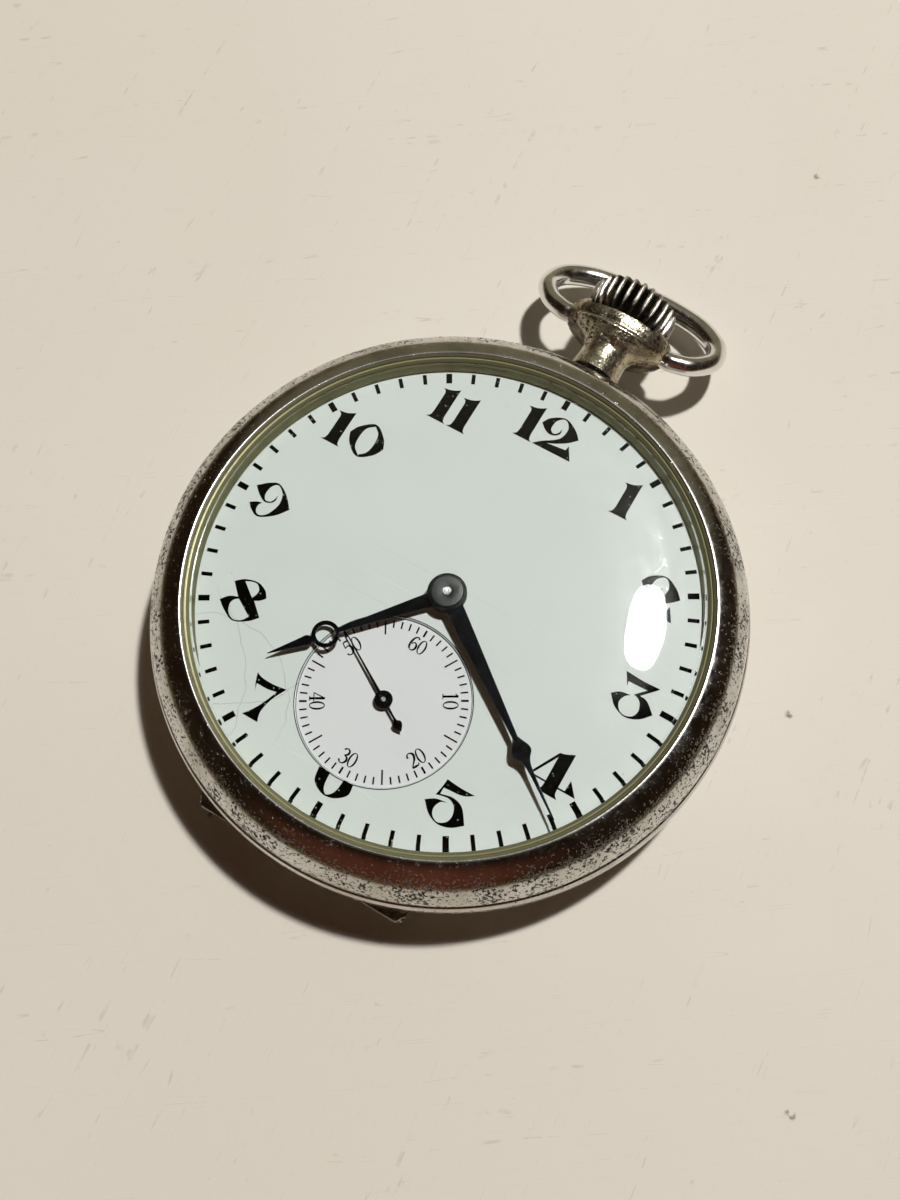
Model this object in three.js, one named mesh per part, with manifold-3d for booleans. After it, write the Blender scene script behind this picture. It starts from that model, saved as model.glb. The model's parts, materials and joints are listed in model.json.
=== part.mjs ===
// Open-face pocket watch, 16 size, with a hinged back and dust cover, a press-fit bezel,
// sub-seconds at 6 and a stem-wound lever movement. Units are millimetres.
// The dial lies in XY, +Y runs to 12 o'clock and the pendant, +Z comes out of the dial.
// The origin is the centre of the flat on the back that the watch lies on.
import * as THREE from "three";
import { mergeVertices } from "three/addons/utils/BufferGeometryUtils.js";
import Module from "manifold-3d";

const wasm = await Module();
wasm.setup();

// ---- driving dimensions -------------------------------------------------------------
const ROUND = 36; // facets of the case's rings
const CASE_R = 25.15; // the case middle at its widest
const GLASS_R = 21.2; // edge of the crystal in its groove
const DIAL_R = 21.6;
const DIAL_TOP = 8.6;
const DIAL_BACK = 8.1;
const PLATE = { low: 6.05, top: 7.25, radius: 21.5 };
const BRIDGE = { low: 2.25, top: 3.65, radius: 20.2 };
const STEM_Z = 5.65; // height of the winding axis
const HINGE = { y: -23.75, z: 3.6, half: 9.75, r: 0.6 }; // joint of the back and dust cover
const BOW = { y: 30, drop: 28, wire: 0.72 }; // pivot, droop in degrees, wire radius
const CROWN = { from: 31.3, to: 34.0, r: 3.9, ribs: 26 };
const SUB_DIAL = { r: 7.1, sunk: 0.2 };
const TIME = { hour: 220.9, minute: 125.9, second: 300.7 }; // hands, degrees clockwise from 12

// Tooth counts: the train turns the seconds arbor 60 times for one turn of the centre.
const TEETH = {
  barrel: 60, centrePinion: 10, centre: 48, thirdPinion: 6, third: 45, fourthPinion: 6,
  fourth: 60, escapePinion: 6, escape: 15, cannon: 10, minute: 30, minutePinion: 8, hour: 32,
  setting: 42, ratchet: 40, crown: 24, crownFace: 14, winding: 12,
};
const GAP = {
  barrel: 8.4, centreThird: 7.2, thirdFourth: 6.12, fourthEscape: 5.775, motion: 3.84,
  ratchetCrown: 8.2, escapePallet: 3.12, palletBalance: 4.88,
}; // distances between arbors that mesh

// ---- places of the arbors -----------------------------------------------------------
const polar = (r, degrees, from = [0, 0]) => [
  from[0] + r * Math.cos((degrees * Math.PI) / 180),
  from[1] + r * Math.sin((degrees * Math.PI) / 180),
];
const bearing = (a, b) => Math.atan2(b[1] - a[1], b[0] - a[0]);

// The point at distance ra from a and rb from b, on the side that `side` picks.
function corner(a, ra, b, rb, side) {
  const d = Math.hypot(b[0] - a[0], b[1] - a[1]);
  const along = (ra * ra - rb * rb + d * d) / (2 * d);
  const off = side * Math.sqrt(ra * ra - along * along);
  const u = [(b[0] - a[0]) / d, (b[1] - a[1]) / d];
  return [a[0] + along * u[0] - off * u[1], a[1] + along * u[1] + off * u[0]];
}

const centreAt = [0, 0];
const fourthAt = [0, -10.1];
const thirdAt = corner(centreAt, GAP.centreThird, fourthAt, GAP.thirdFourth, -1);
const escapeAt = polar(GAP.fourthEscape, -25.7, fourthAt);
const LEVER = 50; // bearing of the line escape wheel, pallets, balance
const palletAt = polar(GAP.escapePallet, LEVER, escapeAt);
const balanceAt = polar(GAP.palletBalance, LEVER, palletAt);
const barrelAt = polar(GAP.barrel, 113.9);
const crownWheelAt = [0, barrelAt[1] + Math.sqrt(GAP.ratchetCrown ** 2 - barrelAt[0] ** 2)];
const minuteAt = polar(GAP.motion, 128.7);
const BARREL_POSTS = [[-15.5, 6.5], [13.5, 9.2]];
const TRAIN_POSTS = [[-13.5, -7.5], [6.8, -17.2]];
const COCK_FOOT = [16.2, 1.4];
const PALLET_FOOT = polar(4.2, LEVER - 90, palletAt);
const CASE_SCREWS = [polar(21.75, 60), polar(21.75, 240)];
const DIAL_FEET = [[-15, 8], [15.4, 7], [-9, -14.5]];
const leverPivot = [4.1, 17.2];
const yokePivot = [-4.4, 17.8];
const clickAt = polar(7.7, 176, barrelAt);

// ---- solids -------------------------------------------------------------------------
const join = (...solids) => solids.reduce((a, b) => a.add(b));
const cut = (solid, ...tools) => tools.reduce((a, b) => a.subtract(b), solid);

// A closed three.js geometry as a solid that can be joined and cut.
function solidOf(geometry) {
  const bare = geometry.index ? geometry.toNonIndexed() : geometry.clone();
  bare.deleteAttribute("normal");
  bare.deleteAttribute("uv");
  const merged = mergeVertices(bare, 1e-4);
  const make = (triVerts) =>
    new wasm.Manifold(
      new wasm.Mesh({ numProp: 3, vertProperties: merged.attributes.position.array, triVerts }),
    );
  const faces = new Uint32Array(merged.index.array);
  const made = make(faces);
  return made.volume() > 0 ? made : make(faces.reverse());
}

// A profile of [radius, z] points turned round the Z axis through (x, y).
function turned(profile, segments = 24, at = [0, 0]) {
  const open = profile[0][0] === 0 && profile.at(-1)[0] === 0;
  const points = (open ? profile : [...profile, profile[0]]).map((p) => new THREE.Vector2(...p));
  const geometry = new THREE.LatheGeometry(points, segments);
  geometry.rotateX(Math.PI / 2);
  return solidOf(geometry.translate(at[0], at[1], 0));
}
const disc = (r, z0, z1, at, segments = 24) =>
  turned([[0, z0], [r, z0], [r, z1], [0, z1]], segments, at);
const ring = (inner, outer, z0, z1, at, segments = 24) =>
  turned([[inner, z0], [outer, z0], [outer, z1], [inner, z1]], segments, at);

const screwHole = (at, r = 0.42) => disc(r, 0, 12, at, 8);
const pivotHole = (at) => disc(0.18, 0, 12, at, 8);

// Stacked discs on one axis: rows of [radius, from z, to z], each starting where the last ends.
const spindle = (rows, at, segments = 8) =>
  turned([[0, rows[0][1]], ...rows.flatMap(([r, a, b]) => [[r, a], [r, b]]),
    [0, rows.at(-1)[2]]], segments, at);

// A profile of [radius, y] points turned round the winding axis, which runs along Y.
function turnedOnStem(profile, segments = 24) {
  const points = profile.map((p) => new THREE.Vector2(...p));
  return new THREE.LatheGeometry(points, segments).translate(0, 0, STEM_Z);
}
const onStem = (r, y0, y1, segments = 16) =>
  solidOf(turnedOnStem([[0, y0], [r, y0], [r, y1], [0, y1]], segments));

function box(x0, x1, y0, y1, z0, z1) {
  const geometry = new THREE.BoxGeometry(x1 - x0, y1 - y0, z1 - z0);
  return solidOf(geometry.translate((x0 + x1) / 2, (y0 + y1) / 2, (z0 + z1) / 2));
}

// A flat plate from an outline of [x, y] points.
function plate(outline, z0, z1) {
  const shape = new THREE.Shape(outline.map((p) => new THREE.Vector2(...p)));
  const geometry = new THREE.ExtrudeGeometry(shape, { depth: z1 - z0, bevelEnabled: false });
  return solidOf(geometry.translate(0, 0, z0));
}

// A rod along X.
function rodX(r, x0, x1, y, z, segments = 12) {
  const geometry = new THREE.CylinderGeometry(r, r, x1 - x0, segments);
  return solidOf(geometry.rotateZ(Math.PI / 2).translate((x0 + x1) / 2, y, z));
}

// ---- gears --------------------------------------------------------------------------
const pitchRadius = (teeth, module) => (teeth * module) / 2;

// Where gear B's first tooth points, so that B meshes with gear A at rest.
function meshPhase(a, b, teethA, teethB, phaseA) {
  const toward = bearing(a, b);
  const offset = ((phaseA - toward) * teethA) / (2 * Math.PI);
  return toward + Math.PI - ((offset + 0.5) * 2 * Math.PI) / teethB;
}

// A toothed outline: pointed teeth of two points each on a wheel, flat-topped on a pinion.
function toothed(teeth, module, at, phase, tip = 0.8, root = 1.2, tipShare = 0) {
  const step = (2 * Math.PI) / teeth;
  const r = pitchRadius(teeth, module);
  const tops = tipShare ? [-tipShare, tipShare] : [0];
  const outline = [];
  for (let i = 0; i < teeth; i += 1) {
    for (const [share, radius] of [
      ...tops.map((share) => [share, r + tip * module]),
      [0.5, r - root * module],
    ]) {
      const angle = phase + (i + share) * step;
      outline.push([at[0] + radius * Math.cos(angle), at[1] + radius * Math.sin(angle)]);
    }
  }
  return outline;
}

const MODULE = {
  barrel: (2 * GAP.barrel) / (TEETH.barrel + TEETH.centrePinion),
  centre: (2 * GAP.centreThird) / (TEETH.centre + TEETH.thirdPinion),
  third: (2 * GAP.thirdFourth) / (TEETH.third + TEETH.fourthPinion),
  fourth: (2 * GAP.fourthEscape) / (TEETH.fourth + TEETH.escapePinion),
  motion: (2 * GAP.motion) / (TEETH.cannon + TEETH.minute),
  hour: (2 * GAP.motion) / (TEETH.minutePinion + TEETH.hour),
  ratchet: (2 * GAP.ratchetCrown) / (TEETH.ratchet + TEETH.crown),
};
const settingAt = corner(minuteAt, pitchRadius(TEETH.minute + TEETH.setting, MODULE.motion),
  crownWheelAt, 5.6, 1);

const gear = (teeth, module, at, phase, z0, z1, tip, tipShare) =>
  plate(toothed(teeth, module, at, phase, tip, 1.2, tipShare), z0, z1);

// Cuts windows through a wheel's web to leave a hub and a number of arms.
function crossed(wheel, at, hub, rim, arms, width, z0, z1) {
  const step = 360 / arms;
  const edge = (r) => (Math.asin(width / 2 / r) * 180) / Math.PI;
  const windows = Array.from({ length: arms }, (_, i) => {
    const corners = [[hub, edge(hub)], [rim, edge(rim)], [rim, step / 3], [rim, (step * 2) / 3],
      [rim, step - edge(rim)], [hub, step - edge(hub)]];
    return plate(corners.map(([r, a]) => polar(r, i * step + a, at)), z0 - 0.1, z1 + 0.1);
  });
  return cut(wheel, ...windows);
}

// ---- finishes -----------------------------------------------------------------------
const finish = (color, metalness, roughness, more = {}) =>
  new THREE.MeshStandardMaterial({ color, metalness, roughness, ...more });
const nickel = finish(0xa9a59a, 1, 0.28);
const pitted = finish(0x9c8f74, 1, 0.45);
const polished = finish(0xc9c8c4, 1, 0.16);
const gunmetal = finish(0x4a4640, 1, 0.4);
const blued = finish(0x14161c, 0.8, 0.3);
const steel = finish(0xb4b6b8, 1, 0.25);
const brass = finish(0xc9a24c, 1, 0.3);
const damaskeened = finish(0xcfcdc6, 1, 0.3);
const enamel = finish(0xdfe6df, 0, 0.22);
const clear = finish(0xf4fbff, 0, 0.04, { transparent: true, opacity: 0.2 });

const watch = new THREE.Group();
function node(name, solid, material, parent = watch) {
  const made = solid.getMesh();
  const geometry = new THREE.BufferGeometry();
  geometry.setAttribute("position", new THREE.BufferAttribute(made.vertProperties, 3));
  geometry.setIndex(new THREE.BufferAttribute(made.triVerts, 1));
  geometry.computeVertexNormals();
  const mesh = new THREE.Mesh(geometry, material);
  mesh.name = name;
  parent.add(mesh);
}

// ---- case ---------------------------------------------------------------------------
const HINGE_POCKET = box(-5.95, 5.95, -26, -22.6, 2.8, 4.35);

function caseMiddle() {
  const band = turned([
    [21.6, 4.2], [21.6, 6.8], [22.1, 6.8], [22.1, 7.5], [23.6, 7.5], [23.6, 6.78],
    [24.95, 6.78], [CASE_R, 6.1], [CASE_R, 5.2], [24.95, 4.3], [24.7, 3.9], [23.9, 3.9],
    [23.9, 3.3], [22.8, 3.3], [22.8, 4.2],
  ], ROUND);
  const { y, z, half } = HINGE;
  const outer = plate([[6, y + 0.42], [half, y + 0.42], [half, y + 0.2], [half - 0.5, y - 0.53],
    [6, y - 0.53]], z - 0.55, z + 0.75);
  const lug = join(outer, box(6, half, y + 0.2, y + 1.3, z + 0.32, z + 0.75));
  const lugs = join(lug, lug.mirror([1, 0, 0]));
  const stemHole = onStem(1.2, 20, 27);
  const pinHole = rodX(0.3, -11, 11, y, z);
  const screwHoles = CASE_SCREWS.map((at) => screwHole(at));
  return cut(join(band, lugs), HINGE_POCKET, stemHole, pinHole, ...screwHoles);
}

function pendant() {
  const neckEnd = 28.2;
  const flat = 0.78; // the head is flatter across Z than across X
  const body = turnedOnStem([
    [0, 24.6], [2.75, 24.6], [2.7, 25.4], [2.2, 26.6], [2.1, 27.8], [2.6, 28.5], [3.8, 29.0],
    [4.75, 29.5], [5.05, 30.2], [4.9, 30.9], [4.5, 31.15], [3.4, 30.95], [0, 30.95],
  ], 20);
  const points = body.getAttribute("position");
  for (let i = 0; i < points.count; i += 1) {
    const share = Math.min(1, Math.max(0, (points.getY(i) - neckEnd) / 1.2));
    const squeeze = 1 - (1 - flat) * share;
    points.setZ(i, STEM_Z + (points.getZ(i) - STEM_Z) * squeeze);
  }
  // The foot is hollowed to sit on the round case band with a small gap.
  const caseBand = disc(CASE_R + 0.05, 2, 9, [0, 0], ROUND);
  const eyes = join(rodX(0.95, 3.9, 6, BOW.y, STEM_Z), rodX(0.95, -6, -3.9, BOW.y, STEM_Z));
  return cut(solidOf(body), caseBand, onStem(1.2, 20, 32), eyes);
}

const sleeve = () => cut(onStem(1.1, 22.3, 30.6), onStem(0.62, 20, 32));

// A wire loop in the plane that droops from the pendant's eyes.
function bow() {
  const drop = (BOW.drop * Math.PI) / 180;
  const at = (x, s) =>
    new THREE.Vector3(x, BOW.y + s * Math.cos(drop), STEM_Z - s * Math.sin(drop));
  const side = [[4.2, 0], [4.9, 0], [5.6, 0.05], [7.2, 0.85], [8.45, 2.9], [7.9, 5.4], [5.6, 7.2],
    [2.6, 8.0]];
  const left = side.map(([x, s]) => [-x, s]);
  const path = new THREE.CatmullRomCurve3(
    [...side, [0, 8.15], ...left.reverse()].map(([x, s]) => at(x, s)), false, "centripetal");
  const section = new THREE.Shape();
  section.absarc(0, 0, BOW.wire, 0, 2 * Math.PI);
  const along = { steps: 32, extrudePath: path, curveSegments: 4 };
  const geometry = new THREE.ExtrudeGeometry(section, along);
  return solidOf(geometry);
}

function bezel() {
  return turned([
    [24.83, 6.86], [24.73, 7.8], [24.45, 8.68], [24, 9.43], [23.42, 10.01], [22.73, 10.38],
    [21.9, 10.52], [21.75, 10.5], [21, 10.05], [GLASS_R + 0.1, 10], [GLASS_R + 0.1, 9.5],
    [20.9, 9.45], [20.9, 8.7], [22.2, 8.65], [23.72, 7.65], [23.72, 6.86],
  ], ROUND);
}

function crystal() {
  return turned([
    [0, 10.8], [10, 10.68], [17.5, 10.35], [20.3, 9.98], [20.75, 9.55],
    [GLASS_R, 9.55], [GLASS_R, 9.8], [20.9, 10.1], [20.3, 10.6], [17.5, 11.12], [10, 11.48], [0, 11.6],
  ], ROUND);
}

function backCover() {
  const shell = turned([
    [0, 0], [11, 0], [18.5, 0.22], [22.7, 1.05], [24.4, 2.5], [24.85, 3.75],
    [24.3, 3.75], [23.9, 2.75], [22.2, 1.45], [18, 0.67], [0, 0.45],
  ], ROUND);
  const { y, z, half, r } = HINGE;
  const room = join(box(-half - 0.15, half + 0.15, -26, y + 0.75, z - 0.75, 4),
    box(-half - 0.15, half + 0.15, -26, y - 0.6, -1, 4));
  const knuckle = (x0, x1) =>
    join(rodX(r, x0, x1, y, z), box(x0, x1, y - 0.35, y + 0.35, z - 1.3, z - 0.2));
  const knuckles = join(knuckle(2.2, 5.85), knuckle(-5.85, -2.2));
  return cut(join(cut(shell, room), knuckles), rodX(0.3, -11, 11, y, z));
}

function dustCover() {
  const shell = turned([
    [0, 1], [19.6, 1.05], [21.6, 1.6], [22.6, 2.3], [23.2, 3.2], [22.85, 3.2], [22.3, 2.5],
    [21.4, 1.9], [19.5, 1.35], [0, 1.3],
  ], ROUND);
  const { y, z } = HINGE;
  const knuckle = join(rodX(0.55, -2.1, 2.1, y, z), box(-2.1, 2.1, y, y + 1, z - 0.62, z - 0.42));
  return cut(join(shell, knuckle), rodX(0.3, -11, 11, y, z));
}

node("case_middle", caseMiddle(), nickel);
node("pendant", pendant(), pitted);
node("pendant_sleeve", sleeve(), steel);
node("bow", bow(), polished);
node("bezel", bezel(), nickel);
node("crystal", crystal(), clear);
node("back_cover", backCover(), nickel);
node("dust_cover", dustCover(), nickel);
node("hinge_pin", rodX(0.25, -9.7, 9.7, HINGE.y, HINGE.z), steel);

// ---- dial and hands -----------------------------------------------------------------
function dial() {
  const footHeight = DIAL_BACK - 6.5;
  const blank = cut(disc(DIAL_R, DIAL_BACK, DIAL_TOP, [0, 0], ROUND),
    disc(1.15, 8, 9), disc(SUB_DIAL.r, 8, 9, fourthAt, 36));
  const feet = DIAL_FEET.map((at) => disc(0.4, DIAL_BACK - footHeight, DIAL_BACK + 0.1, at, 12));
  return join(blank, ...feet);
}

const subDial = () => cut(
  disc(SUB_DIAL.r - 0.05, DIAL_BACK, DIAL_TOP - SUB_DIAL.sunk, fourthAt, 36),
  disc(0.34, 8, 9, fourthAt, 12));

// A hand: half widths along its length, mirrored, then turned to its heading.
function hand(half, at, heading, z0, z1, bore, boss) {
  const angle = Math.PI / 2 - (heading * Math.PI) / 180;
  const across = (s, w) => [
    at[0] + s * Math.cos(angle) - w * Math.sin(angle),
    at[1] + s * Math.sin(angle) + w * Math.cos(angle),
  ];
  const left = half.map(([s, w]) => across(s, -w));
  const outline = [...half.map(([s, w]) => across(s, w)), ...left.reverse()];
  const blade = join(plate(outline, z0, z1), disc(boss, z0, z1, at, 16));
  return { blade: cut(blade, disc(bore, z0 - 1, z1 + 1, at, 12)), place: across };
}

function hourHand() {
  const z0 = DIAL_TOP + 0.65;
  const z1 = z0 + 0.15;
  const half = [[0, 0.65], [1.6, 0.65], [9.5, 0.2], [11.4, 0.2], [11.9, 0.45], [15.3, 0.02]];
  const { blade, place } = hand(half, centreAt, TIME.hour, z0, z1, 1.03, 1.62);
  const eye = place(10.4, 0);
  return cut(join(blade, disc(1.15, z0, z1, eye, 14)), disc(0.8, z0 - 1, z1 + 1, eye, 14));
}

function minuteHand() {
  const z0 = DIAL_TOP + 1.1;
  const half = [[0, 0.72], [1.6, 0.72], [12.9, 0.26], [13.4, 0.3], [14.3, 0.75], [14.8, 0.7],
    [16.4, 0.2], [20.3, 0.08]];
  return hand(half, centreAt, TIME.minute, z0, z0 + 0.15, 0.69, 1.62).blade;
}

function secondHand() {
  const z0 = DIAL_TOP + 0.2;
  const half = [[-3, 0.02], [-2.4, 0.42], [-1.8, 0.12], [0, 0.14], [6.5, 0.05]];
  return hand(half, fourthAt, TIME.second, z0, z0 + 0.15, 0.24, 0.75).blade;
}

node("dial", dial(), enamel);
node("seconds_dial", subDial(), enamel);
node("hour_hand", hourHand(), blued);
node("minute_hand", minuteHand(), blued);
node("seconds_hand", secondHand(), blued);

// ---- plates and bridges -------------------------------------------------------------

function mainPlate() {
  const base = turned([
    [0, PLATE.low], [PLATE.radius, PLATE.low], [PLATE.radius, 6.9], [21.95, 6.9],
    [21.95, PLATE.top], [PLATE.radius, PLATE.top], [PLATE.radius, 8.05], [20.7, 8.05],
    [20.7, PLATE.top], [0, PLATE.top],
  ], ROUND);
  const minutePost = disc(0.3, PLATE.top - 0.2, 7.95, minuteAt, 8);
  const settingPost = disc(0.4, PLATE.top - 0.2, 7.6, settingAt, 8);
  const feet = DIAL_FEET.map((at) => disc(0.5, 6, 9, at, 12));
  const keyless = box(-2.6, 2.6, 14.2, 18.4, 5, 9);
  const holes = [disc(0.45, 5, 9, centreAt, 12), disc(0.5, 5, 9, barrelAt, 12),
    disc(0.42, 5, 9, fourthAt, 12), ...[thirdAt, escapeAt, palletAt, balanceAt].map(pivotHole),
    ...CASE_SCREWS.map((at) => disc(0.95, PLATE.top + 0.05, 9, at, 12)),
    ...CASE_SCREWS.map((at) => screwHole(at)), ...feet, keyless, onStem(0.62, 12.4, 23)];
  return join(cut(base, ...holes), minutePost, settingPost);
}

// Bridges are plates cut from a disc, standing on posts that reach the main plate.
function bridge(outline, posts, ...holes) {
  const flat = plate(outline, BRIDGE.low, BRIDGE.top);
  const blank = flat.intersect(disc(BRIDGE.radius, 0, 9, [0, 0], ROUND));
  const standing = posts.map((at) => disc(1.5, BRIDGE.top - 0.1, PLATE.low - 0.03, at, 12));
  return cut(join(blank, ...standing), ...posts.map((at) => screwHole(at)), ...holes);
}

const WHEEL_FLOOR = 3.5; // floor under the crown wheel's recess

function barrelBridge() {
  const outline = [[-21, 1.3], [6, 1.3], [11.5, 5], [21, 5], [21, 21], [-21, 21]];
  const recess = disc(3.25, 2.0, WHEEL_FLOOR + 0.05, crownWheelAt, 20);
  const floor = disc(3.4, WHEEL_FLOOR + 0.05, WHEEL_FLOOR + 0.3, crownWheelAt, 20);
  const core = disc(1.2, BRIDGE.low, WHEEL_FLOOR + 0.2, crownWheelAt, 16);
  const slot = box(-2.5, 2.5, 16.9, 18.3, 2.9, 4);
  const clickPost = disc(0.3, 1.5, BRIDGE.low + 0.2, clickAt, 8);
  const blank = bridge(outline, BARREL_POSTS, disc(0.75, 2, 4, barrelAt, 12), recess);
  return join(cut(join(blank, floor, core), slot, screwHole(crownWheelAt, 0.45)), clickPost);
}

function trainBridge() {
  const outline = [[-21, 1.1], [5.2, 1.1], [7.4, -14.2], [9.6, -16], [9, -21], [-21, -21]];
  const holes = [disc(7.35, 2, 4, balanceAt, 28), disc(0.32, 2, 4, centreAt, 12),
    ...[thirdAt, fourthAt, escapeAt].map(pivotHole)];
  return bridge(outline, TRAIN_POSTS, ...holes);
}

function balanceCock() {
  const [x, y] = balanceAt;
  const foot = plate([[13.1, 3.2], [17.4, 3.9], [19.2, 0.8], [17.2, -1.2], [14.6, 0.2]],
    BRIDGE.low, PLATE.low - 0.03);
  const arm = plate([[13.4, 2.4], [17.6, -0.4], [x + 1.9, y - 1], [x - 1.9, y + 1]], BRIDGE.low, 3.05);
  const head = disc(2.2, BRIDGE.low, 3.05, balanceAt, 24);
  const jewel = disc(0.95, 1.95, BRIDGE.low + 0.1, balanceAt, 16);
  const stud = disc(0.3, 2.9, 3.6, polar(3.75, 215, balanceAt), 8);
  const studArm = plate([polar(1.5, 200, balanceAt), polar(4, 210, balanceAt), polar(4, 220, balanceAt),
    polar(1.5, 230, balanceAt)], BRIDGE.low, 3.05);
  const blank = cut(join(foot, arm, head, jewel, stud, studArm), screwHole(COCK_FOOT));
  return cut(blank, disc(0.18, 2.4, 4, balanceAt, 8));
}

function palletCock() {
  const across = (s, w) => polar(w, LEVER, polar(s, LEVER - 90, palletAt));
  const arm = plate([across(-0.7, -0.6), across(4.6, -1), across(4.6, 1), across(-0.7, 0.6)], 4.8, 5.25);
  const foot = disc(1, 4.8, PLATE.low - 0.03, PALLET_FOOT, 12);
  return cut(join(arm, foot), pivotHole(palletAt), disc(0.32, 4, 7, PALLET_FOOT, 8));
}

// ---- barrel and going train ---------------------------------------------------------
const PINION_TIP = 0.6;

const barrelPhase = meshPhase(centreAt, barrelAt, TEETH.centrePinion, TEETH.barrel, 0);
function barrelDrum() {
  const r = pitchRadius(TEETH.barrel, MODULE.barrel);
  const wall = ring(r - 1.0, r - 0.55, 4.15, 4.95, barrelAt, 28);
  const rim = gear(TEETH.barrel, MODULE.barrel, barrelAt, barrelPhase, 4.9, 5.15);
  return cut(join(wall, rim), disc(0.6, 4, 6, barrelAt, 12));
}
const barrelLid = () =>
  ring(0.75, pitchRadius(TEETH.barrel, MODULE.barrel) - 0.6, 3.92, 4.12, barrelAt, 28);

// A flat spiral ribbon between two radii.
function spiral(at, inner, outer, turns, steps, thick, z0, z1) {
  const side = (shift) => Array.from({ length: turns * steps + 1 }, (_, i) => {
    const r = inner + ((outer - inner) * i) / (turns * steps) + shift;
    return polar(r, (360 * i) / steps, at);
  });
  return plate([...side(-thick / 2), ...side(thick / 2).reverse()], z0, z1);
}

const barrelArbor = () => spindle(
  [[0.6, 2.25, 3.4], [0.68, 3.4, 3.75], [0.5, 3.75, 4.2], [1.3, 4.2, 4.85], [0.5, 4.85, 5.3],
    [0.42, 5.3, 6.5]],
  barrelAt);

const centreWheel = () => crossed(
  cut(gear(TEETH.centre, MODULE.centre, centreAt, 0, 5.45, 5.7), disc(0.53, 5, 6, centreAt, 12)),
  centreAt, 1.5, 5.5, 5, 0.8, 5.45, 5.7);

// A pinion: leaves with pivots and shaft below and above them.
function pinion(teeth, module, at, phase, z0, z1, shaft) {
  return join(gear(teeth, module, at, phase, z0, z1, PINION_TIP, 0.12), spindle(shaft, at));
}

const centrePinion = () => pinion(TEETH.centrePinion, MODULE.barrel, centreAt, 0, 4.0, 5.2,
  [[0.26, 2.4, 3.75], [0.5, 3.75, 5.95], [0.36, 5.95, 10.15]]);

const thirdPhase = meshPhase(centreAt, thirdAt, TEETH.centre, TEETH.thirdPinion, 0);
const thirdPinion = () => pinion(TEETH.thirdPinion, MODULE.centre, thirdAt, thirdPhase, 5.25, 5.9,
  [[0.12, 2.5, 3.7], [0.3, 3.7, 5.95], [0.12, 5.95, 7.1]]);
const thirdWheel = () => crossed(
  cut(gear(TEETH.third, MODULE.third, thirdAt, 0, 3.85, 4.1), disc(0.33, 3, 5, thirdAt, 12)),
  thirdAt, 1.2, 4.6, 5, 0.7, 3.85, 4.1);

const fourthPhase = meshPhase(thirdAt, fourthAt, TEETH.third, TEETH.fourthPinion, 0);
const fourthPinion = () => pinion(TEETH.fourthPinion, MODULE.third, fourthAt, fourthPhase, 3.75, 4.45,
  [[0.12, 2.5, 3.7], [0.3, 3.7, 5.9], [0.2, 5.9, 9.0]]);
const fourthWheel = () => crossed(
  cut(gear(TEETH.fourth, MODULE.fourth, fourthAt, 0, 4.75, 5.0), disc(0.33, 4, 6, fourthAt, 12)),
  fourthAt, 1.2, 4.6, 5, 0.6, 4.75, 5.0);

const escapePhase = meshPhase(fourthAt, escapeAt, TEETH.fourth, TEETH.escapePinion, 0);
const escapePinion = () => pinion(TEETH.escapePinion, MODULE.fourth, escapeAt, escapePhase, 4.6, 5.2,
  [[0.12, 2.5, 3.7], [0.22, 3.7, 5.9], [0.12, 5.9, 7.1]]);

function escapeWheel() {
  const tip = 2.7;
  const step = (2 * Math.PI) / TEETH.escape;
  const outline = [];
  for (let i = 0; i < TEETH.escape; i += 1) {
    for (const [share, r] of [[0, tip], [0.14, tip - 0.12], [0.42, 2.1], [0.86, 2.1]]) {
      const a = (i + share) * step;
      outline.push([escapeAt[0] + r * Math.cos(a), escapeAt[1] + r * Math.sin(a)]);
    }
  }
  const blank = cut(plate(outline, 5.5, 5.7), disc(0.25, 5, 6, escapeAt, 8));
  return crossed(blank, escapeAt, 0.7, 1.7, 4, 0.3, 5.5, 5.7);
}

// ---- lever, balance and regulator ---------------------------------------------------
function palletFork() {
  const across = (s, w) => polar(w, LEVER + 90, polar(s, LEVER, palletAt));
  const lever = plate([across(0, 0.3), across(0, -0.3), across(3.5, -0.2), across(3.9, -0.45),
    across(3.92, -0.2), across(3.6, -0.12), across(3.6, 0.12), across(3.92, 0.2), across(3.9, 0.45),
    across(3.5, 0.2)], 5.5, 5.75);
  const arm = (side) => plate([across(0.3, 0), across(0.15, side * 1.65), across(-0.6, side * 1.62),
    across(-0.58, side * 1.46), across(-0.2, side * 1.35), across(-0.25, side * 0.25)], 5.5, 5.75);
  const arbor = spindle([[0.12, 4.85, 5.3], [0.3, 5.3, 5.9], [0.12, 5.9, 7.1]], palletAt);
  return join(lever, arm(1), arm(-1), arbor);
}

function balanceWheel() {
  const rim = ring(6.1, 6.8, 3.9, 4.55, balanceAt, 28);
  const arm = plate([[-6.3, -0.35], [6.3, -0.35], [6.3, 0.35], [-6.3, 0.35]]
    .map(([x, y]) => [balanceAt[0] + x, balanceAt[1] + y]), 3.95, 4.15);
  const weights = Array.from({ length: 8 }, (_, i) =>
    disc(0.32, 3.95, 4.5, polar(6.9, 22.5 + 45 * i, balanceAt), 6));
  const hub = disc(0.9, 3.95, 4.15, balanceAt, 16);
  return cut(join(rim, arm, hub, ...weights), disc(0.42, 3, 5, balanceAt, 12));
}

function balanceStaff() {
  const staff = spindle([[0.12, 2.5, 3.1], [0.38, 3.1, 5.05], [1.2, 5.05, 5.25], [0.25, 5.25, 5.9],
    [0.12, 5.9, 7.1]], balanceAt, 10);
  return join(staff, disc(0.12, 5.2, 5.8, polar(0.75, LEVER + 180, balanceAt), 6));
}
const hairspring = () => join(spiral(balanceAt, 0.75, 3.3, 4, 10, 0.09, 3.3, 3.5),
  ring(0.41, 0.8, 3.3, 3.55, balanceAt, 12));

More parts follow.
